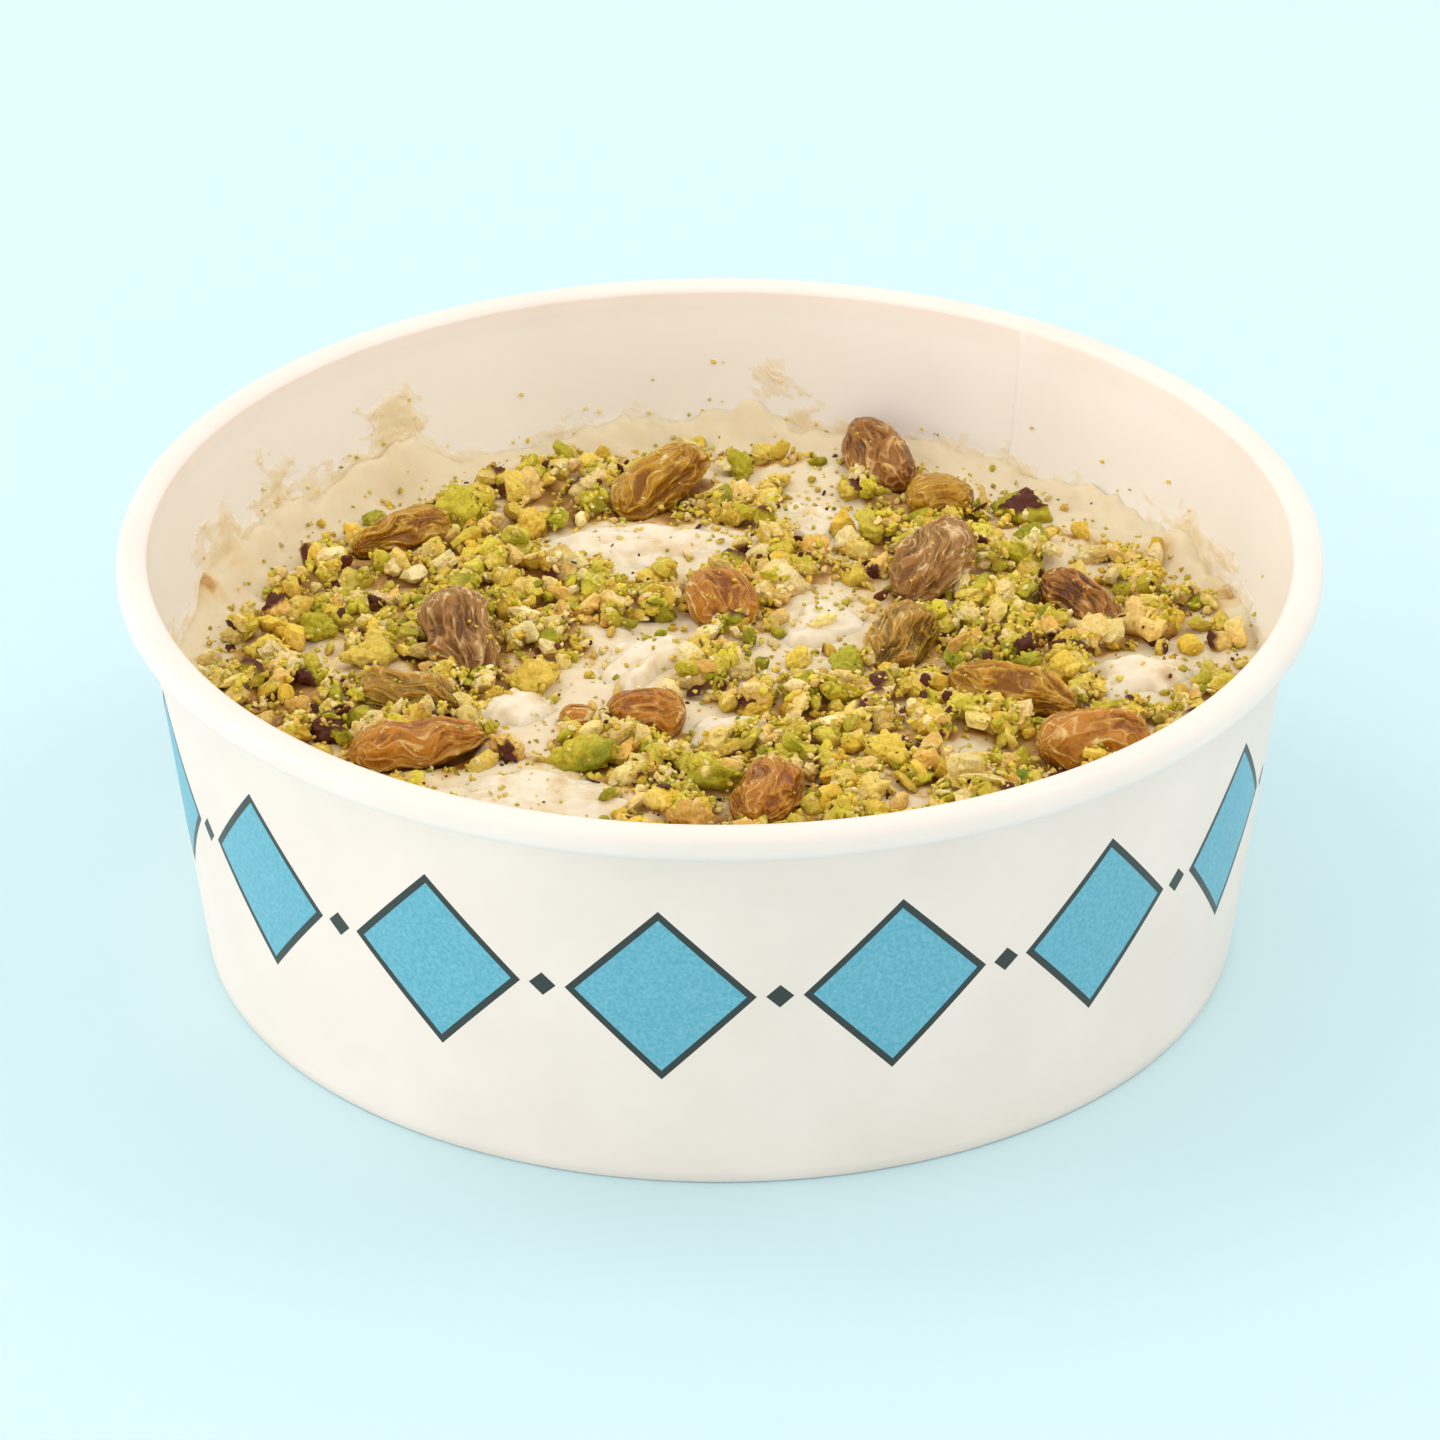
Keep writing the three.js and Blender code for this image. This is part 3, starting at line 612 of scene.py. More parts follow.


# Milk pudding set by baking: moist, lets light in a little, tan where soaked, paler where creamy, and
# darker brown under the nuts, which is painted shade among the pieces.
def bakedMilk():
    material, tree, place = newMaterial(
        "bakedMilkPudding", Roughness=0.38, IOR=1.36, Subsurface_Weight=0.35, Subsurface_Scale=0.0016,
        Subsurface_Radius=(1.0, 0.65, 0.35))
    creamy = addNode(tree, "Attribute", attribute_name="creamy").outputs["Fac"]
    # curds about 1.2 mm across
    curd = addNode(tree, "TexNoise", {"Vector": place, "Scale": 800.0, "Detail": 4.0}).outputs[0]
    mixed = addNode(tree, "Math", [curd, 0.5, -0.25], operation="MULTIPLY_ADD")
    share = addNode(tree, "Math", [creamy, mixed], operation="ADD")
    # the darkest brown shows mostly under the nuts, where it is painted shade
    shade = addNode(tree, "ValToRGB", [share], [(0.0, "#8c5c22"), (0.35, "#c49a58"), (0.62, "#e6cd9c"),
                                                (0.95, "#ebddbd")])
    return finishMaterial(material, shade.outputs[0], curd, 0.35, 0.0003)


creamLooks = {"around": 112, "rings": 26, "under": 8, "ridge": 0.9, "dimple": 0.4, "fray": 0.34,
              "colourLow": "#e2cda2", "colourHigh": "#f2e8d1"}


# A lens with a wavy outline that follows the pudding, its top dragged into soft ridges.
def makeCream(number, material):
    middle, size, turn, rise = creamPlaces[number]
    angle = evenAngles(creamLooks["around"])
    circle = np.stack([*ringPlaces(5, angle), angle * 0 + number], -1)
    outline = creamOutline(number, angle) * (1 + creamLooks["fray"] * layeredNoise(circle, 2.2, 81, 4))
    over = np.linspace(0, 1, creamLooks["rings"] + 1)[1:, None] ** 0.85
    under = np.linspace(1, 0, creamLooks["under"] + 1)[:-1, None]
    part = np.concatenate([over, under])
    top = np.arange(len(part)) < creamLooks["rings"]
    along, across = (part * half / 2 * outline * way for half, way in zip(size, ringPlaces(1, angle)))
    c, s = math.cos(math.radians(turn)), math.sin(math.radians(turn))
    x = np.append(middle[0] + along * c - across * s, [middle[0]] * 2)
    y = np.append(middle[1] + along * s + across * c, [middle[1]] * 2)
    share = np.append((part + 0 * angle), [0, 0])
    above = np.append(np.repeat(top, len(angle)), [True, False])
    plan = flat(x, y)
    drag = np.stack([(x * c + y * s) / 3.2, (y * c - x * s) + 0.8 * softNoise(plan, 5, 85), 0 * x], -1)
    ridges = (creamLooks["ridge"] * layeredNoise(drag, 2.0, 83 + number, 3)
              + creamLooks["dimple"] * layeredNoise(plan, 1.8, 87, 3))
    swell = (1 - share ** 3) * (1 + 0.25 * np.cos(0.9 * x + number) * np.cos(0.8 * y))
    lift = np.where(above, rise * swell + ridges * (1 - share ** 4) + creamEdge * (1 - 3.5 * share ** 6),
                    -creamSink * (1 - share ** 4) - 4 * creamEdge) + lumps(plan) * share ** 2
    points = np.stack([x, y, puddingTop(x, y) + lift], -1)
    piece = newPiece("cream%d" % (number + 1), points, *closedFaces(len(part), len(angle)), material)
    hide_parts("cream_%d" % (number + 1))


# Clotted cream, skimmed and spooned: soft white, a little yellow in the hollows, moist sheen.
def clottedCream():
    material, tree, place = newMaterial(
        "clottedCream", Roughness=0.36, IOR=1.45, Subsurface_Weight=0.4, Subsurface_Scale=0.0018,
        Subsurface_Radius=(1.0, 0.8, 0.55))
    patch = addNode(tree, "TexNoise", {"Vector": place, "Scale": 320.0, "Detail": 4.0})
    shade = addNode(tree, "ValToRGB", [patch], [(0.32, creamLooks["colourLow"]),
                                                (0.55, creamLooks["colourHigh"])])
    fine = addNode(tree, "TexNoise", {"Vector": place, "Scale": 1500.0, "Detail": 3.0}).outputs[0]
    return finishMaterial(material, shade.outputs[0], fine, 0.25, 0.0002)


raisinLooks = {
    "along": 84, "around": 108, "taper": 0.24, "bend": 0.16, "plump": 2.4, "tips": 0.99,
    "foldDepth": 2.1, "creaseDepth": 0.8, "dentDepth": 1.7,
    # hollow colours darker as painted shade in the folds; crest colours paler, partly dust and partly
    # painted highlight
    "skins": {  # hollow, slope and crest colours
        "golden": ("#945c04", "#ca9c2c", "#f6dca0"), "amber": ("#945206", "#ca8c2c", "#f4d494"),
        "brown": ("#623204", "#a67026", "#e8c488"), "beige": ("#7c4c18", "#ac8040", "#f0d4a4"),
        "olive": ("#74500a", "#ba9234", "#e8c682")},
}


# Turns and moves points of a raisin's own frame, by angles in degrees; it leans up towards its far end.
def layRaisin(points, middle, turn, lean, roll):
    return points @ turnMatrix(*np.radians([turn, -lean, roll])).T + np.array(middle)


# An egg with one end finer and a small bend; wrinkles are folded noise stretched along it, so that
# their crests are sharp and run from end to end.
def makeRaisin(number, materials):
    middle, size, turn, lean, roll, kind, depth = raisinPlaces[number]
    half = np.array(size) / 2
    taper = raisinLooks["taper"] * (chance(number, 1) - 0.35)
    bend = raisinLooks["bend"] * (chance(number, 2) - 0.5) * half[0]
    t = np.linspace(0, math.pi, raisinLooks["along"] + 2)[1:-1, None]
    around = evenAngles(raisinLooks["around"])
    along = -np.cos(t) + 0 * around
    body = np.sqrt(np.clip(1 - np.abs(along) ** raisinLooks["plump"], 0, 1)) * (1 - taper * along)
    broad = 1 + 0.05 * np.cos(3 * around + 6 * chance(number, 3) + along)
    warp = 0.45 * softNoise(np.stack([along * half[0], np.cos(around) * 3 + 0 * along,
                                      np.sin(around) * 3 + 0 * along], -1), 3.2, 101 + number)
    wander = around + warp
    ropes = np.stack([along * half[0] / 5.0, np.cos(wander) * 1.5, np.sin(wander) * 1.5], -1)
    fold = (1 - np.abs(softNoise(ropes, 1.0, 111 + number))) ** 2
    thin = np.stack([along * half[0] / 2.6, np.cos(wander) * 4.6, np.sin(wander) * 4.6], -1)
    crease = (1 - np.abs(softNoise(thin, 1.0, 131 + number))) ** 5
    dent = softNoise(np.stack([along * half[0], np.cos(around) * half[1] + 0 * along,
                               np.sin(around) * half[2] + 0 * along], -1), 4.6, 151 + number)
    crest = 0.1 + 0.4 * fold + 0.5 * crease
    shift = depth * (raisinLooks["foldDepth"] * (fold - 0.5) + raisinLooks["creaseDepth"] * (crease - 0.3)
                     + raisinLooks["dentDepth"] * dent)
    drop = bend * (along ** 2 - 0.4)
    ends = np.clip(np.sin(t) * 1.4, 0, 1)
    y = np.cos(around) * (half[1] * body * broad + shift * ends) + drop
    z = np.sin(around) * (half[2] * body * broad + shift * ends)
    x = along * half[0] * (1 + 0.03 * dent)
    tips = [(end * half[0], bend * 0.6, 0) for end in (-raisinLooks["tips"], raisinLooks["tips"])]
    points = np.concatenate([np.stack([x, y, z], -1).reshape(-1, 3), tips])
    points = layRaisin(points, middle, turn, lean, roll)
    rope = np.stack([along * half[0] / 3.4, np.cos(wander) * body * 4.2, np.sin(wander) * body * 4.2], -1)
    values = {"crest": np.append(np.clip(crest + 0.3 * dent, 0, 1), [0.5, 0.5]),
              "rope": np.concatenate([rope.reshape(-1, 3), rope[[0, -1], 0]]) + number * 7.0}
    piece = newPiece("raisin%02d" % (number + 1), points, *closedFaces(*x.shape, turned=True),
                     materials[kind], values)
    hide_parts("raisin_%02d" % (number + 1))
    return points


# Sun-dried grape skin: clear, with a faint gloss. Its colour darkens in the folds as painted shade, and
# pales on the crests, partly dust and partly painted highlight.
def driedGrapeSkin(kind):
    hollow, slope, crestDustAndHighlight = raisinLooks["skins"][kind]
    material, tree, place = newMaterial(
        "driedGrapeSkin_" + kind, Roughness=0.15, IOR=1.46, Specular_IOR_Level=0.3,
        Transmission_Weight=0.12, Subsurface_Weight=0.85, Subsurface_Scale=0.0028,
        Subsurface_Radius=(1.0, 0.5, 0.15))
    crest = addNode(tree, "Attribute", attribute_name="crest").outputs["Fac"]
    rope = addNode(tree, "Attribute", attribute_name="rope").outputs["Vector"]
    # wrinkles about 1.2 mm apart that run along the raisin: noise folded about its middle value
    wave = addNode(tree, "TexNoise", {"Vector": rope, "Scale": 0.78, "Detail": 0.9, "Distortion": 0.4})
    off = addNode(tree, "Math", [wave, 0.5], operation="SUBTRACT")
    offSize = addNode(tree, "Math", [off], operation="ABSOLUTE")
    ridge = addNode(tree, "MapRange", [offSize, 0.0, 0.13, 1.0, 0.0], interpolation_type="SMOOTHSTEP")
    # painted highlights: thin pale lines where the finest wrinkles cross raised folds
    line = addNode(tree, "MapRange", [offSize, 0.004, 0.05, 0.62, 0.0], interpolation_type="SMOOTHSTEP")
    raisedPart = addNode(tree, "MapRange", [crest, 0.3, 0.75])
    highlightLineShare = addNode(tree, "Math", [line, raisedPart], operation="MULTIPLY")
    # skin grain about 0.4 mm across, and blotches of 4 mm
    grain = addNode(tree, "TexNoise", {"Vector": place, "Scale": 2400.0, "Detail": 3.0})
    blotch = addNode(tree, "TexNoise", {"Vector": place, "Scale": 260.0, "Detail": 2.0})
    both = addNode(tree, "Math", [grain, blotch], operation="ADD")
    uneven = addNode(tree, "Math", [both, 0.55, -0.56], operation="MULTIPLY_ADD")
    raised = addNode(tree, "Math", [ridge, 0.2, uneven], operation="MULTIPLY_ADD")
    share = addNode(tree, "Math", [crest, 0.72, raised], operation="MULTIPLY_ADD")
    # dark in the hollows as painted shade, pale at the crests partly as painted highlight
    shade = addNode(tree, "ValToRGB", [share], [(0.16, hollow), (0.46, slope), (0.66, slope),
                                                (0.92, crestDustAndHighlight)])
    lined = addNode(tree, "Mix", {"Factor": highlightLineShare.outputs[0], 6: shade, 7: colour(crestDustAndHighlight)},
                    data_type="RGBA").outputs[2]
    rough = addNode(tree, "Math", [grain, 0.15, ridge], operation="MULTIPLY_ADD").outputs[0]
    return finishMaterial(material, lined, rough, 1.0, 0.0003)


nuts = {
    "seed": 5, "tries": 330, "kept": 88, "reach": 62.5, "small": 2.8, "large": 5.2, "room": 0.45,
    "medium": 2250, "fine": 5200, "dust": 4800,
    "mediumSize": (1.4, 4.6), "fineSize": (0.7, 1.7), "dustSize": (0.35, 0.95),
    "planeShake": 0.28, "planeReach": (0.68, 1.0),      # of the planes that break a piece
    "limit": 59, "frontLimit": 4, "rightLimit": 6, "fade": 7,      # where nuts thin out towards the wall
    "onCream": 0.14, "dustOnRaisins": 0.12, "swell": 1.04, "largeLift": 0.22, "largeSkinned": 0.35,
    "bedReach": 0.35, "bedLift": 0.55, "moundReach": 0.42, "moundRise": 0.8,      # how pieces lie on others
    # how deep and how dark the low parts of pieces are painted: milk soaking and painted shade
    "soakShadeDepth": 2.6, "soakShadeFrom": 0.9, "soakShadeTint": (0.6, 0.51, 0.27),
    "speckSpread": 1.3, "speckHeight": 1.9, "speckLimit": 6, "speckGap": 0.2,      # specks on the wall
    "cell": 0.5, "half": 72.0, "spread": 66.5, "pile": 2.1, "wallSpecks": 60, "leastFine": 0.07,
}
bitShares = {"yellow": 0.34, "hazelnut": 0.26, "pale": 0.12, "pistachio": 0.2, "green": 0.08}
dustShares = {"yellow": 0.35, "pistachio": 0.34, "green": 0.06, "skin": 0.08, "pale": 0.17}
chunkPlaces = [  # middle, size along, across and up, turn in degrees, what it is
    ((-33.4, 44.4), (7.6, 6.6, 5.4), 20, "pistachio"), ((-25.6, 50.4), (5.8, 5.2, 4.2), 50, "hazelnut"),
    ((-16.2, 50.6), (5.2, 4.6, 4.2), 0, "hazelnut"), ((1.6, 47.2), (5.8, 5.0, 4.0), -20, "hazelnut"),
    ((-26.9, 31.4), (6.2, 4.0, 3.6), 10, "yellow"), ((-26.0, 20.4), (4.6, 5.6, 4.2), 80, "yellow"),
    ((-14.8, 19.8), (5.2, 4.0, 3.4), 10, "hazelnut"), ((7.4, 32.6), (4.6, 4.0, 3.6), 40, "yellow"),
    ((7.8, 22.8), (7.0, 5.4, 4.0), 0, "hazelnut"), ((20.2, 38.6), (4.2, 5.2, 4.4), 90, "yellow"),
    ((39.2, 44.0), (6.4, 5.2, 4.4), -20, "pistachio"), ((36.2, 15.8), (5.0, 4.6, 4.2), 30, "pale"),
    ((54.2, 12.8), (6.8, 6.2, 5.6), 15, "hazelnut"), ((54.0, 25.0), (6.4, 4.6, 3.4), 35, "hazelnut"),
    ((-43.2, 3.4), (6.8, 4.6, 3.8), 30, "yellow"), ((-47.4, 15.0), (9.0, 3.0, 2.4), 2, "yellow"),
    ((-16.6, -22.6), (7.4, 5.2, 4.6), 15, "pistachio"), ((-9.0, -25.6), (7.2, 5.0, 4.0), 30, "pale"),
    ((-0.6, -28.0), (5.0, 6.8, 4.6), 60, "pistachio"), ((-3.6, -38.6), (4.6, 4.0, 4.2), 0, "hazelnut"),
    ((-48.6, -13.4), (5.2, 3.6, 3.0), -35, "skin"), ((-23.6, -1.8), (6.6, 4.6, 3.8), 5, "yellow"),
    ((10.2, -6.4), (6.4, 5.0, 4.0), 10, "pistachio"), ((17.4, -5.4), (4.8, 4.4, 3.8), 70, "hazelnut"),
    ((37.0, 4.6), (4.4, 3.6, 4.4), 80, "pistachio"), ((16.6, -30.6), (7.2, 4.0, 3.8), 12, "yellow"),
    ((14.4, -37.6), (4.6, 4.4, 4.0), 0, "yellow"), ((20.4, -21.6), (5.2, 4.4, 3.8), -20, "yellow"),
    ((26.4, -14.4), (4.0, 5.0, 4.0), 85, "yellow"), ((-9.6, -47.0), (6.4, 5.2, 4.2), 25, "hazelnut"),
    ((34.6, -38.0), (6.8, 5.0, 4.0), -30, "pistachio"), ((-40.6, -37.8), (5.8, 4.8, 4.0), 60, "hazelnut"),
]
nutShades = {  # a few natural shades of each kind of nut
    "yellow": ["#f4d662", "#eec84c", "#ead056", "#f8de7c", "#e2be42", "#dcce4e"],
    "hazelnut": ["#f8d480", "#f0c86c", "#fae098", "#e4b45a", "#f8e4aa"],
    "pale": ["#f8e69c", "#f0d882", "#faeab0", "#e8c872"],
    "pistachio": ["#dccc3e", "#cabe34", "#bab02c", "#e6d654", "#9c9c22", "#eed468"],
    "green": ["#a2ac2a", "#869622", "#bcba38", "#c8c048"],
    "skin": ["#5a2c20", "#6b3426", "#4a2216", "#7c4a30"],
}
paleSpots = [  # middle, length and width, turn of places where cream shows and few nuts lie
    ((-11, 35), (28, 14), -5), ((13, 11), (28, 12), 84), ((-9, 5), (26, 12), 63), ((14.7, 44), (27, 9), 98),
    ((55, 1), (20, 13), 58), ((-19.5, -7), (22, 6.5), 73), ((-24, -23), (22, 8), 107),
    ((31, -20), (9, 6.5), 85), ((-21.5, -31.5), (27, 14), -12), ((-1, -12), (12, 7), 111),
    ((-50, 9), (13, 5.5), 100), ((-24, 43), (11, 5), 80), ((46, 46), (26, 12), 140),
    ((-56, 34), (14, 8), 80), ((-47, 46), (24, 9), -140), ((4, 57), (20, 6), 170),
    ((30, 55), (16, 7), 127), ((62, 32), (12, 5), 120),
    ((22, -33), (9, 6), 10), ((-45, 3), (11, 8), 0), ((43, 34), (20, 8), 150), ((9, 5), (13, 14), 0),
]


# Points and faces of a ball cut into triangles, as arrays.
def icoBall(levels):
    mesh = bmesh.new()
    bmesh.ops.create_icosphere(mesh, subdivisions=levels, radius=1)
    points = np.array([vertex.co[:] for vertex in mesh.verts])
    faces = np.array([[vertex.index for vertex in face.verts] for face in mesh.faces])
    mesh.free()
    return points, faces


# A broken piece of nut: a ball cut by planes. Its radius is the planes' distances blended by a
# high power mean, so that the edges are a little worn, with noise for the crumbly break.
def brokenShape(ball, seed, planes=9, hardness=9, crumbly=0.1, grainy=0.0):
    rng = np.random.default_rng(seed)
    step = np.arange(planes) + 0.5
    slope = np.arccos(1 - 2 * step / planes)
    spin = math.pi * (1 + 5 ** 0.5) * step
    normals = np.stack([np.cos(spin) * np.sin(slope), np.sin(spin) * np.sin(slope), np.cos(slope)], -1)
    normals += rng.normal(scale=nuts["planeShake"], size=normals.shape)
    normals /= np.linalg.norm(normals, axis=1, keepdims=True)
    reach = rng.uniform(*nuts["planeReach"], planes)
    facing = np.maximum(ball @ normals.T, 1e-3) / reach
    radius = (facing ** hardness).sum(1) ** (-1 / hardness)
    radius = np.minimum(radius, 1.2) * (1 + crumbly * layeredNoise(ball * 10 + seed * 3, 4.2, 171, 3)
                                        + grainy * layeredNoise(ball * 10 + seed * 3, 1.5, 175, 2))
    return ball * radius[:, None]


# One turn matrix for each copy: any roll and turn, and a lean about level.
def randomTurns(rng, count, tilt):
    roll, turn = rng.uniform(0, tau, (2, count))
    return turnMatrix(turn, rng.normal(scale=tilt, size=count), roll)


# Random places over the food, as many in each part of it.
def anyPlaces(rng, count):
    r = nuts["spread"] * np.sqrt(rng.random(count))
    return ringPlaces(r, rng.uniform(0, tau, count))


# Random lengths between two, more of them short.
def anyLengths(rng, count, lengths, power=1.5):
    return lengths[0] + (lengths[1] - lengths[0]) * rng.random(count) ** power


# Faces of so many copies of a shape with so many corners, numbered one after another.
def joinedFaces(faces, copies, corners):
    return (faces + (np.arange(copies) * corners)[:, None, None]).reshape(-1, 3)


# Copies of the shapes, each stretched by its size, turned and moved, as one set of points and faces.
def joinedCopies(shapes, faces, which, sizes, turns, places):
    points = shapes[which] * (sizes / 2)[:, None, :]
    points = np.einsum("nij,nvj->nvi", turns, points) + places[:, None, :]
    return points.reshape(-1, 3), joinedFaces(faces, *points.shape[:2])


# How pale the food is at a point: 1 within the pale spots, fading round their ragged outlines.
def paleness(x, y):
    pale = np.zeros(np.shape(x))
    fray = 0.5 * layeredNoise(flat(x, y), 5.0, 191, 3)
    for middle, size, turn in paleSpots:
        pale = np.maximum(pale, smooth((1.28 - ovalShare(x, y, middle, size, turn) + fray) / 0.4))
    return pale


# Share of the food that nuts cover at a point: full in the middle, thin at the wall (further in at
# the back and left), on cream and in pale spots, and clumped by noise.
def nutShare(x, y):
    limit = (nuts["limit"] + nuts["frontLimit"] * smooth((15 - y) / 20)
             + nuts["rightLimit"] * smooth((x - 35) / 12) * smooth((38 - y) / 8))
    share = 1 - smooth((np.hypot(x, y) - limit) / nuts["fade"])
    share = share * np.clip(0.95 + 0.7 * layeredNoise(flat(x, y), 9.0, 181, 2), 0.2, 1)
    share = share * np.clip(0.74 + 1.2 * layeredNoise(flat(x, y), 4.0, 185, 2), 0.12, 1)
    for number in range(len(creamPlaces)):
        off = smooth((creamShare(x, y, number) - 0.7) / 0.4)
        share = share * (nuts["onCream"] + (1 - nuts["onCream"]) * off)
    return share * (1 - 0.92 * paleness(x, y))


# Whether a point lies under a raisin grown by a margin.
def underRaisin(x, y, margin):
    hit = np.zeros(np.shape(x), bool)
    for middle, size, turn, lean, roll, kind, depth in raisinPlaces:
        hit |= ovalShare(x, y, middle, size, turn, margin) < 1
    return hit


# The part's own scattered bits: a sunflower spiral with a shake, clear of raisins, cream and chunks.
def scatteredBits():
    index = np.arange(nuts["tries"])
    length = nuts["small"] + (nuts["large"] - nuts["small"]) * chance(index, 6) ** 1.6
    r = nuts["reach"] * np.sqrt((index + 0.5) / nuts["tries"]) + 1.6 * (chance(index, 7) - 0.5)
    angle = index * math.pi * (3 - math.sqrt(5)) + 0.1 * (chance(index, 8) - 0.5)
    x, y = ringPlaces(r, angle)
    room = length / 2 + nuts["room"]
    taken = underRaisin(x, y, room)
    for middle, size, turn, rise in creamPlaces:
        taken |= ovalShare(x, y, middle, size, turn, room * 0.8) < 1
    for middle, size, turn, what in chunkPlaces:
        taken |= ovalShare(x, y, middle, size, turn, room * 0.7) < 1
    free = index[~taken]
    kept = free[np.argsort(-length[free], kind="stable")][:nuts["kept"]]
    size = np.stack([length[kept], length[kept] * (0.62 + 0.3 * chance(kept + 100, 9)),
                     length[kept] * (0.6 + 0.25 * chance(kept + 100, 10))], -1)
    return x[kept], y[kept], size, 360 * chance(kept + 100, 11)


# A height map of the food that grows as pieces are laid on it.
class HeightMap:
    def __init__(self):
        steps = np.arange(-nuts["half"], nuts["half"], nuts["cell"])
        self.x, self.y = np.meshgrid(steps, steps, indexing="ij")
        self.z = foodTop(self.x, self.y)
        for number in range(len(creamPlaces)):
            share = creamShare(self.x, self.y, number)
            rise = creamPlaces[number][3] * (1 - np.clip(share, 0, 1) ** 3)
            self.z = np.where(share < 1, puddingTop(self.x, self.y) + rise, self.z)

    # Lowest free height for a piece of a reach at a place: a little over the mean below it.
    def rest(self, x, y, reach):
        patch = self.z[self.window(x, y, reach)]
        return patch.mean() + 0.35 * patch.std()

    # Raises the map under a dome of a height and reach.
    def lay(self, x, y, reach, middle, rise):
        window = self.window(x, y, reach)
        away = np.hypot(self.x[window] - x, self.y[window] - y) / reach
        dome = middle + rise * np.sqrt(np.clip(1 - away ** 2, 0, 1))
        self.z[window] = np.where(away < 1, np.maximum(self.z[window], dome), self.z[window])

    # The cells of points in plan.
    def cells(self, x, y):
        return tuple(np.floor((np.stack([x, y]) + nuts["half"]) / nuts["cell"]).astype(int))

    # The rows and columns within a reach of a place.
    def window(self, x, y, reach):
        low, high = self.cells(x - reach, y - reach), self.cells(x + reach, y + reach)
        return tuple(slice(max(first, 0), last + 1) for first, last in zip(low, high))

    # Raises the map to points of a mesh.
    def cover(self, points):
        np.maximum.at(self.z, self.cells(points[:, 0], points[:, 1]), points[:, 2])

    # The map's heights at points.
    def at(self, x, y):
        return self.z[self.cells(x, y)]


# Colours by point for copies of a kind: two shades for each copy, blended by noise and by the way
# a point faces, and skin left on one side of some.
def copyColours(rng, what, shapes, which, skinned):
    copies = len(which)
    shades = np.array([colour(shade)[:3] for shade in nutShades[what]])
    first, second = shades[rng.integers(len(shades), size=(2, copies))]
    sides = rng.normal(size=(2, copies, 3))
    sides /= np.linalg.norm(sides, axis=2, keepdims=True)
    facing, otherFacing = np.einsum("nvj,snj->snv", shapes[which], sides)
    mottle = layeredNoise(shapes * 10, 3.2, 195, 2)[which]
    blend = smooth(0.5 + 0.6 * otherFacing + 0.8 * mottle)[..., None]
    colours = first[:, None] * (1 - blend) + second[:, None] * blend
    colours = colours * rng.uniform(0.84, 1.1, (copies, 1, 1))
    skin = np.array(colour(nutShades["skin"][0])[:3])
    wears = (rng.random(copies) < skinned)[:, None]
    cover = smooth((facing - 0.5) / 0.15) * wears
    colours = colours * (1 - cover[..., None]) + skin * cover[..., None]
    return colours.reshape(-1, 3)


# Darker, fuller colours for the parts of pieces that stand low in the food: partly milk soaking them,
# partly painted shade for the occlusion among the pieces.
def soakAndPaintedShade(colours, points):
    above = points[:, 2] - puddingTop(points[:, 0], points[:, 1])
    dryAndLit = smooth((above + nuts["soakShadeFrom"]) / nuts["soakShadeDepth"])[:, None]
    return colours * (dryAndLit + (1 - dryAndLit) * np.array(nuts["soakShadeTint"]))


# Chopped pistachios and hazelnuts: dry crumbly breaks with a little oil, skins matt.
def choppedNut():
    material, tree, place = newMaterial(
        "choppedNut", Roughness=0.5, IOR=1.45, Specular_IOR_Level=0.25, Subsurface_Weight=0.2,
        Subsurface_Scale=0.001, Subsurface_Radius=(1.0, 0.85, 0.25))
    # colours by point, their low parts painted darker for milk soaking and as painted shade
    shade = addNode(tree, "Attribute", attribute_name="shade")
    # crumbs of the break about 0.4 mm across
    crumb = addNode(tree, "TexNoise", {"Vector": place, "Scale": 2300.0, "Detail": 3.0}).outputs[0]
    depth = addNode(tree, "MapRange", [crumb, 0.3, 0.7, 0.78, 1.16])
    scaled = addNode(tree, "VectorMath", [shade, depth], operation="MULTIPLY")
    return finishMaterial(material, scaled.outputs[0], crumb, 0.6, 0.0003)


# The largest pieces: those the part has, at its places and sizes.
def makeLargeNuts(material, heights):
    ball, faces = icoBall(4)
    rng = np.random.default_rng(nuts["seed"])
    places = list(chunkPlaces)
    for x, y, size, turn in zip(*scatteredBits()):
        places.append(((x, y), size, turn, rng.choice(list(bitShares), p=list(bitShares.values()))))
    points, shades = [], []
    for number, ((x, y), size, turn, what) in enumerate(places):
        shape = brokenShape(ball, 300 + number, crumbly=0.42, grainy=0.2)
        laid = shape * np.array(size) / 2 * nuts["swell"]
        z = puddingTop(x, y) + size[2] * nuts["largeLift"]
        laid = layRaisin(laid, (x, y, z), turn, 0, math.degrees(0.5 * (chance(number, 5) - 0.5)))
        points.append(laid)
        shades.append(copyColours(rng, what, shape[None], [0], nuts["largeSkinned"]))
        heights.lay(x, y, size[0] * nuts["moundReach"], z, size[2] * nuts["moundReach"])
    points = np.concatenate(points)
    joined = joinedFaces(faces, len(places), len(ball))
    # low parts painted darker: milk soaking and painted shade
    shades = soakAndPaintedShade(np.concatenate(shades), points)
    piece = newPiece("nutsLarge", points, [], joined, material, {"shade": shades})
    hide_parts("pudding")
    print("nutsLarge", len(joined), "triangles")


# Places for pieces: random points kept where nuts lie and no raisin does, few on top of others.
def sprinkle(rng, count, lengths, heights):
    x, y = anyPlaces(rng, count * 4)
    fine = lengths[1] <= nuts["fineSize"][1]
    pile, least = (2 * nuts["pile"], nuts["leastFine"]) if fine else (nuts["pile"], 0.0)
    room = np.where(heights.at(x, y) - puddingTop(x, y) > pile, 0.25, 1.0)
    kept = (rng.random(count * 4) < np.maximum(nutShare(x, y) * room, least)) & ~underRaisin(x, y, 0.1)
    x, y = x[kept][:count], y[kept][:count]
    return x, y, anyLengths(rng, len(x), lengths, 2.1)


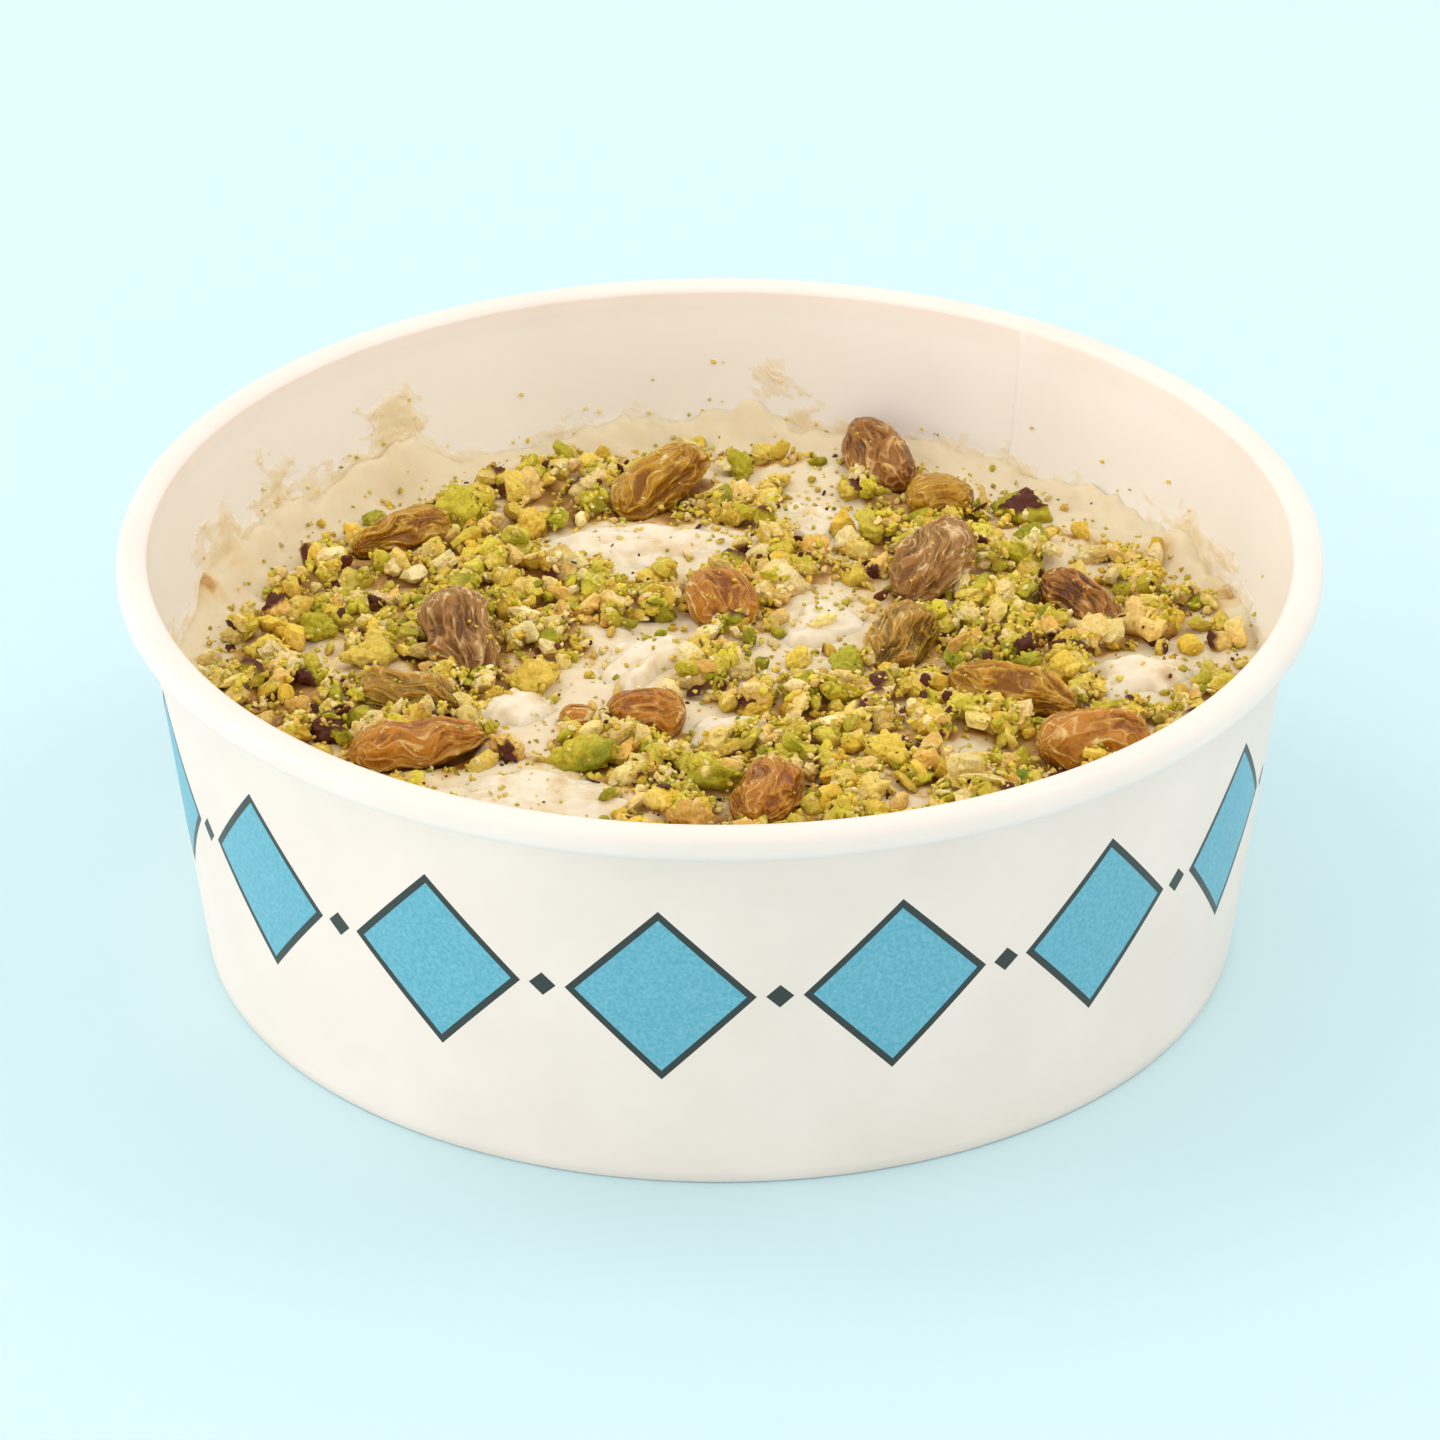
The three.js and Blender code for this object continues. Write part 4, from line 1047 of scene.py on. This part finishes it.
# One kind of chopped piece: laid largest first on what is already there.
def makeNutKind(name, what, levels, share, lengths, seed, material, heights, skinned=0.1, thin=0.72,
                narrow=1.0):
    rng = np.random.default_rng(seed)
    ball, faces = icoBall(levels)
    shapes = np.stack([brokenShape(ball, seed * 100 + k, planes=8, crumbly=0.46) for k in range(14)])
    count = int(nuts["medium" if levels == 2 else "fine"] * share)
    x, y, length = sprinkle(rng, count, lengths, heights)
    order = np.argsort(-length)
    x, y, length = x[order], y[order], length[order]
    size = np.stack([length, length * rng.uniform(0.6, 0.95, len(x)) * narrow,
                     length * rng.uniform(0.55, 0.9, len(x)) * narrow * thin], -1)
    z = np.empty(len(x))
    for i in range(len(x)):      # one step for each piece, since it lies on those before it
        rise = size[i, 2] * 0.5
        z[i] = heights.rest(x[i], y[i], length[i] * nuts["bedReach"]) + rise * nuts["bedLift"]
        heights.lay(x[i], y[i], length[i] * nuts["moundReach"], z[i], rise * nuts["moundRise"])
    which = rng.integers(len(shapes), size=len(x))
    turns = randomTurns(rng, len(x), 0.45)
    points, joined = joinedCopies(shapes, faces, which, size, turns, np.stack([x, y, z], -1))
    shades = copyColours(rng, what, shapes, which, skinned)
    # low parts painted darker: milk soaking and painted shade
    piece = newPiece(name, points, [], joined, material, {"shade": soakAndPaintedShade(shades, points)}, rounded=False)
    print(name, len(joined), "triangles")


# Fine nut dust over nuts, cream and, thinly, raisins.
def makeDust(material, heights):
    rng = np.random.default_rng(77)
    ball, faces = icoBall(1)
    shapes = np.stack([brokenShape(ball, 900 + k, crumbly=0.2) for k in range(8)])
    x, y = anyPlaces(rng, nuts["dust"] * 3)
    keep = rng.random(len(x)) < np.where(underRaisin(x, y, 0.2), nuts["dustOnRaisins"],
                                        0.45 + 0.55 * nutShare(x, y))
    x, y = x[keep][:nuts["dust"]], y[keep][:nuts["dust"]]
    length = anyLengths(rng, len(x), nuts["dustSize"])
    size = np.stack([length, length * 0.8, length * 0.6], -1)
    z = heights.at(x, y) + length * 0.05
    # some specks stick to the wall a little above the food, mostly at the back
    stuck = np.arange(len(x)) < nuts["wallSpecks"]
    around = np.where(stuck, rng.normal(math.pi / 2, nuts["speckSpread"], len(x)), 0)
    wallZ = edgeHeight(around) + rng.exponential(nuts["speckHeight"], len(x))
    wallR = wallInside(wallZ, around) - nuts["speckGap"]
    x, y = np.where(stuck, ringPlaces(wallR, around), (x, y))
    z = np.where(stuck, np.minimum(wallZ, bowl["height"] - nuts["speckLimit"]), z)
    which = rng.integers(len(shapes), size=len(x))
    points, joined = joinedCopies(shapes, faces, which, size, randomTurns(rng, len(x), 0.5),
                                  np.stack([x, y, z], -1))
    kinds = rng.choice(list(dustShares), size=len(x), p=list(dustShares.values()))
    kinds[stuck & (kinds == "skin")] = "yellow"
    shades = np.zeros((len(x), len(ball), 3))
    for what in np.unique(kinds):
        chosen = kinds == what
        shades[chosen] = copyColours(rng, what, shapes, which[chosen], 0).reshape(-1, len(ball), 3)
    piece = newPiece("nutsDust", points, [], joined, material, {"shade": shades.reshape(-1, 3)})
    print("nutsDust", len(joined), "triangles")


placeCamera()
placeLights()
placeFloor()
print("camera, light and floor")

makeBowlSide()
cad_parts["bowl_base"].data.materials[0] = bpy.data.objects["bowlSide"].data.materials[0]
print("bowl")

puddingMaterial = bakedMilk()
makePudding(puddingMaterial)
makeWallFilm()
creamMaterial = clottedCream()
for creamNumber in range(len(creamPlaces)):
    makeCream(creamNumber, creamMaterial)
print("cream")

skinMaterials = {kind: driedGrapeSkin(kind) for kind in raisinLooks["skins"]}
raisinPoints = [makeRaisin(raisinNumber, skinMaterials) for raisinNumber in range(len(raisinPlaces))]
print("raisins")

nutMaterial = choppedNut()
heights = HeightMap()
makeLargeNuts(nutMaterial, heights)
medium, fine = nuts["mediumSize"], nuts["fineSize"]
for name, what, levels, share, lengths, seed, more in [
        ("nutsYellow", "yellow", 2, 0.38, medium, 11, {}),
        ("nutsHazel", "hazelnut", 2, 0.17, medium, 12, {}),
        ("nutsPistachio", "pistachio", 2, 0.26, medium, 13, {"skinned": 0.3}),
        ("nutsPale", "pale", 2, 0.15, medium, 14, {}),
        ("nutSlivers", "pale", 2, 0.014, (4.0, 8.0), 19, {"narrow": 0.28}),
        ("nutSkins", "skin", 2, 0.075, (1.0, 2.8), 15, {"thin": 0.35}),
        ("nutsFineYellow", "yellow", 1, 0.46, fine, 16, {}),
        ("nutsFineGreen", "pistachio", 1, 0.28, fine, 17, {}),
        ("nutsFinePale", "pale", 1, 0.26, fine, 18, {})]:
    makeNutKind(name, what, levels, share, lengths, seed, nutMaterial, heights, **more)
for laid in raisinPoints:
    heights.cover(laid)
makeDust(nutMaterial, heights)
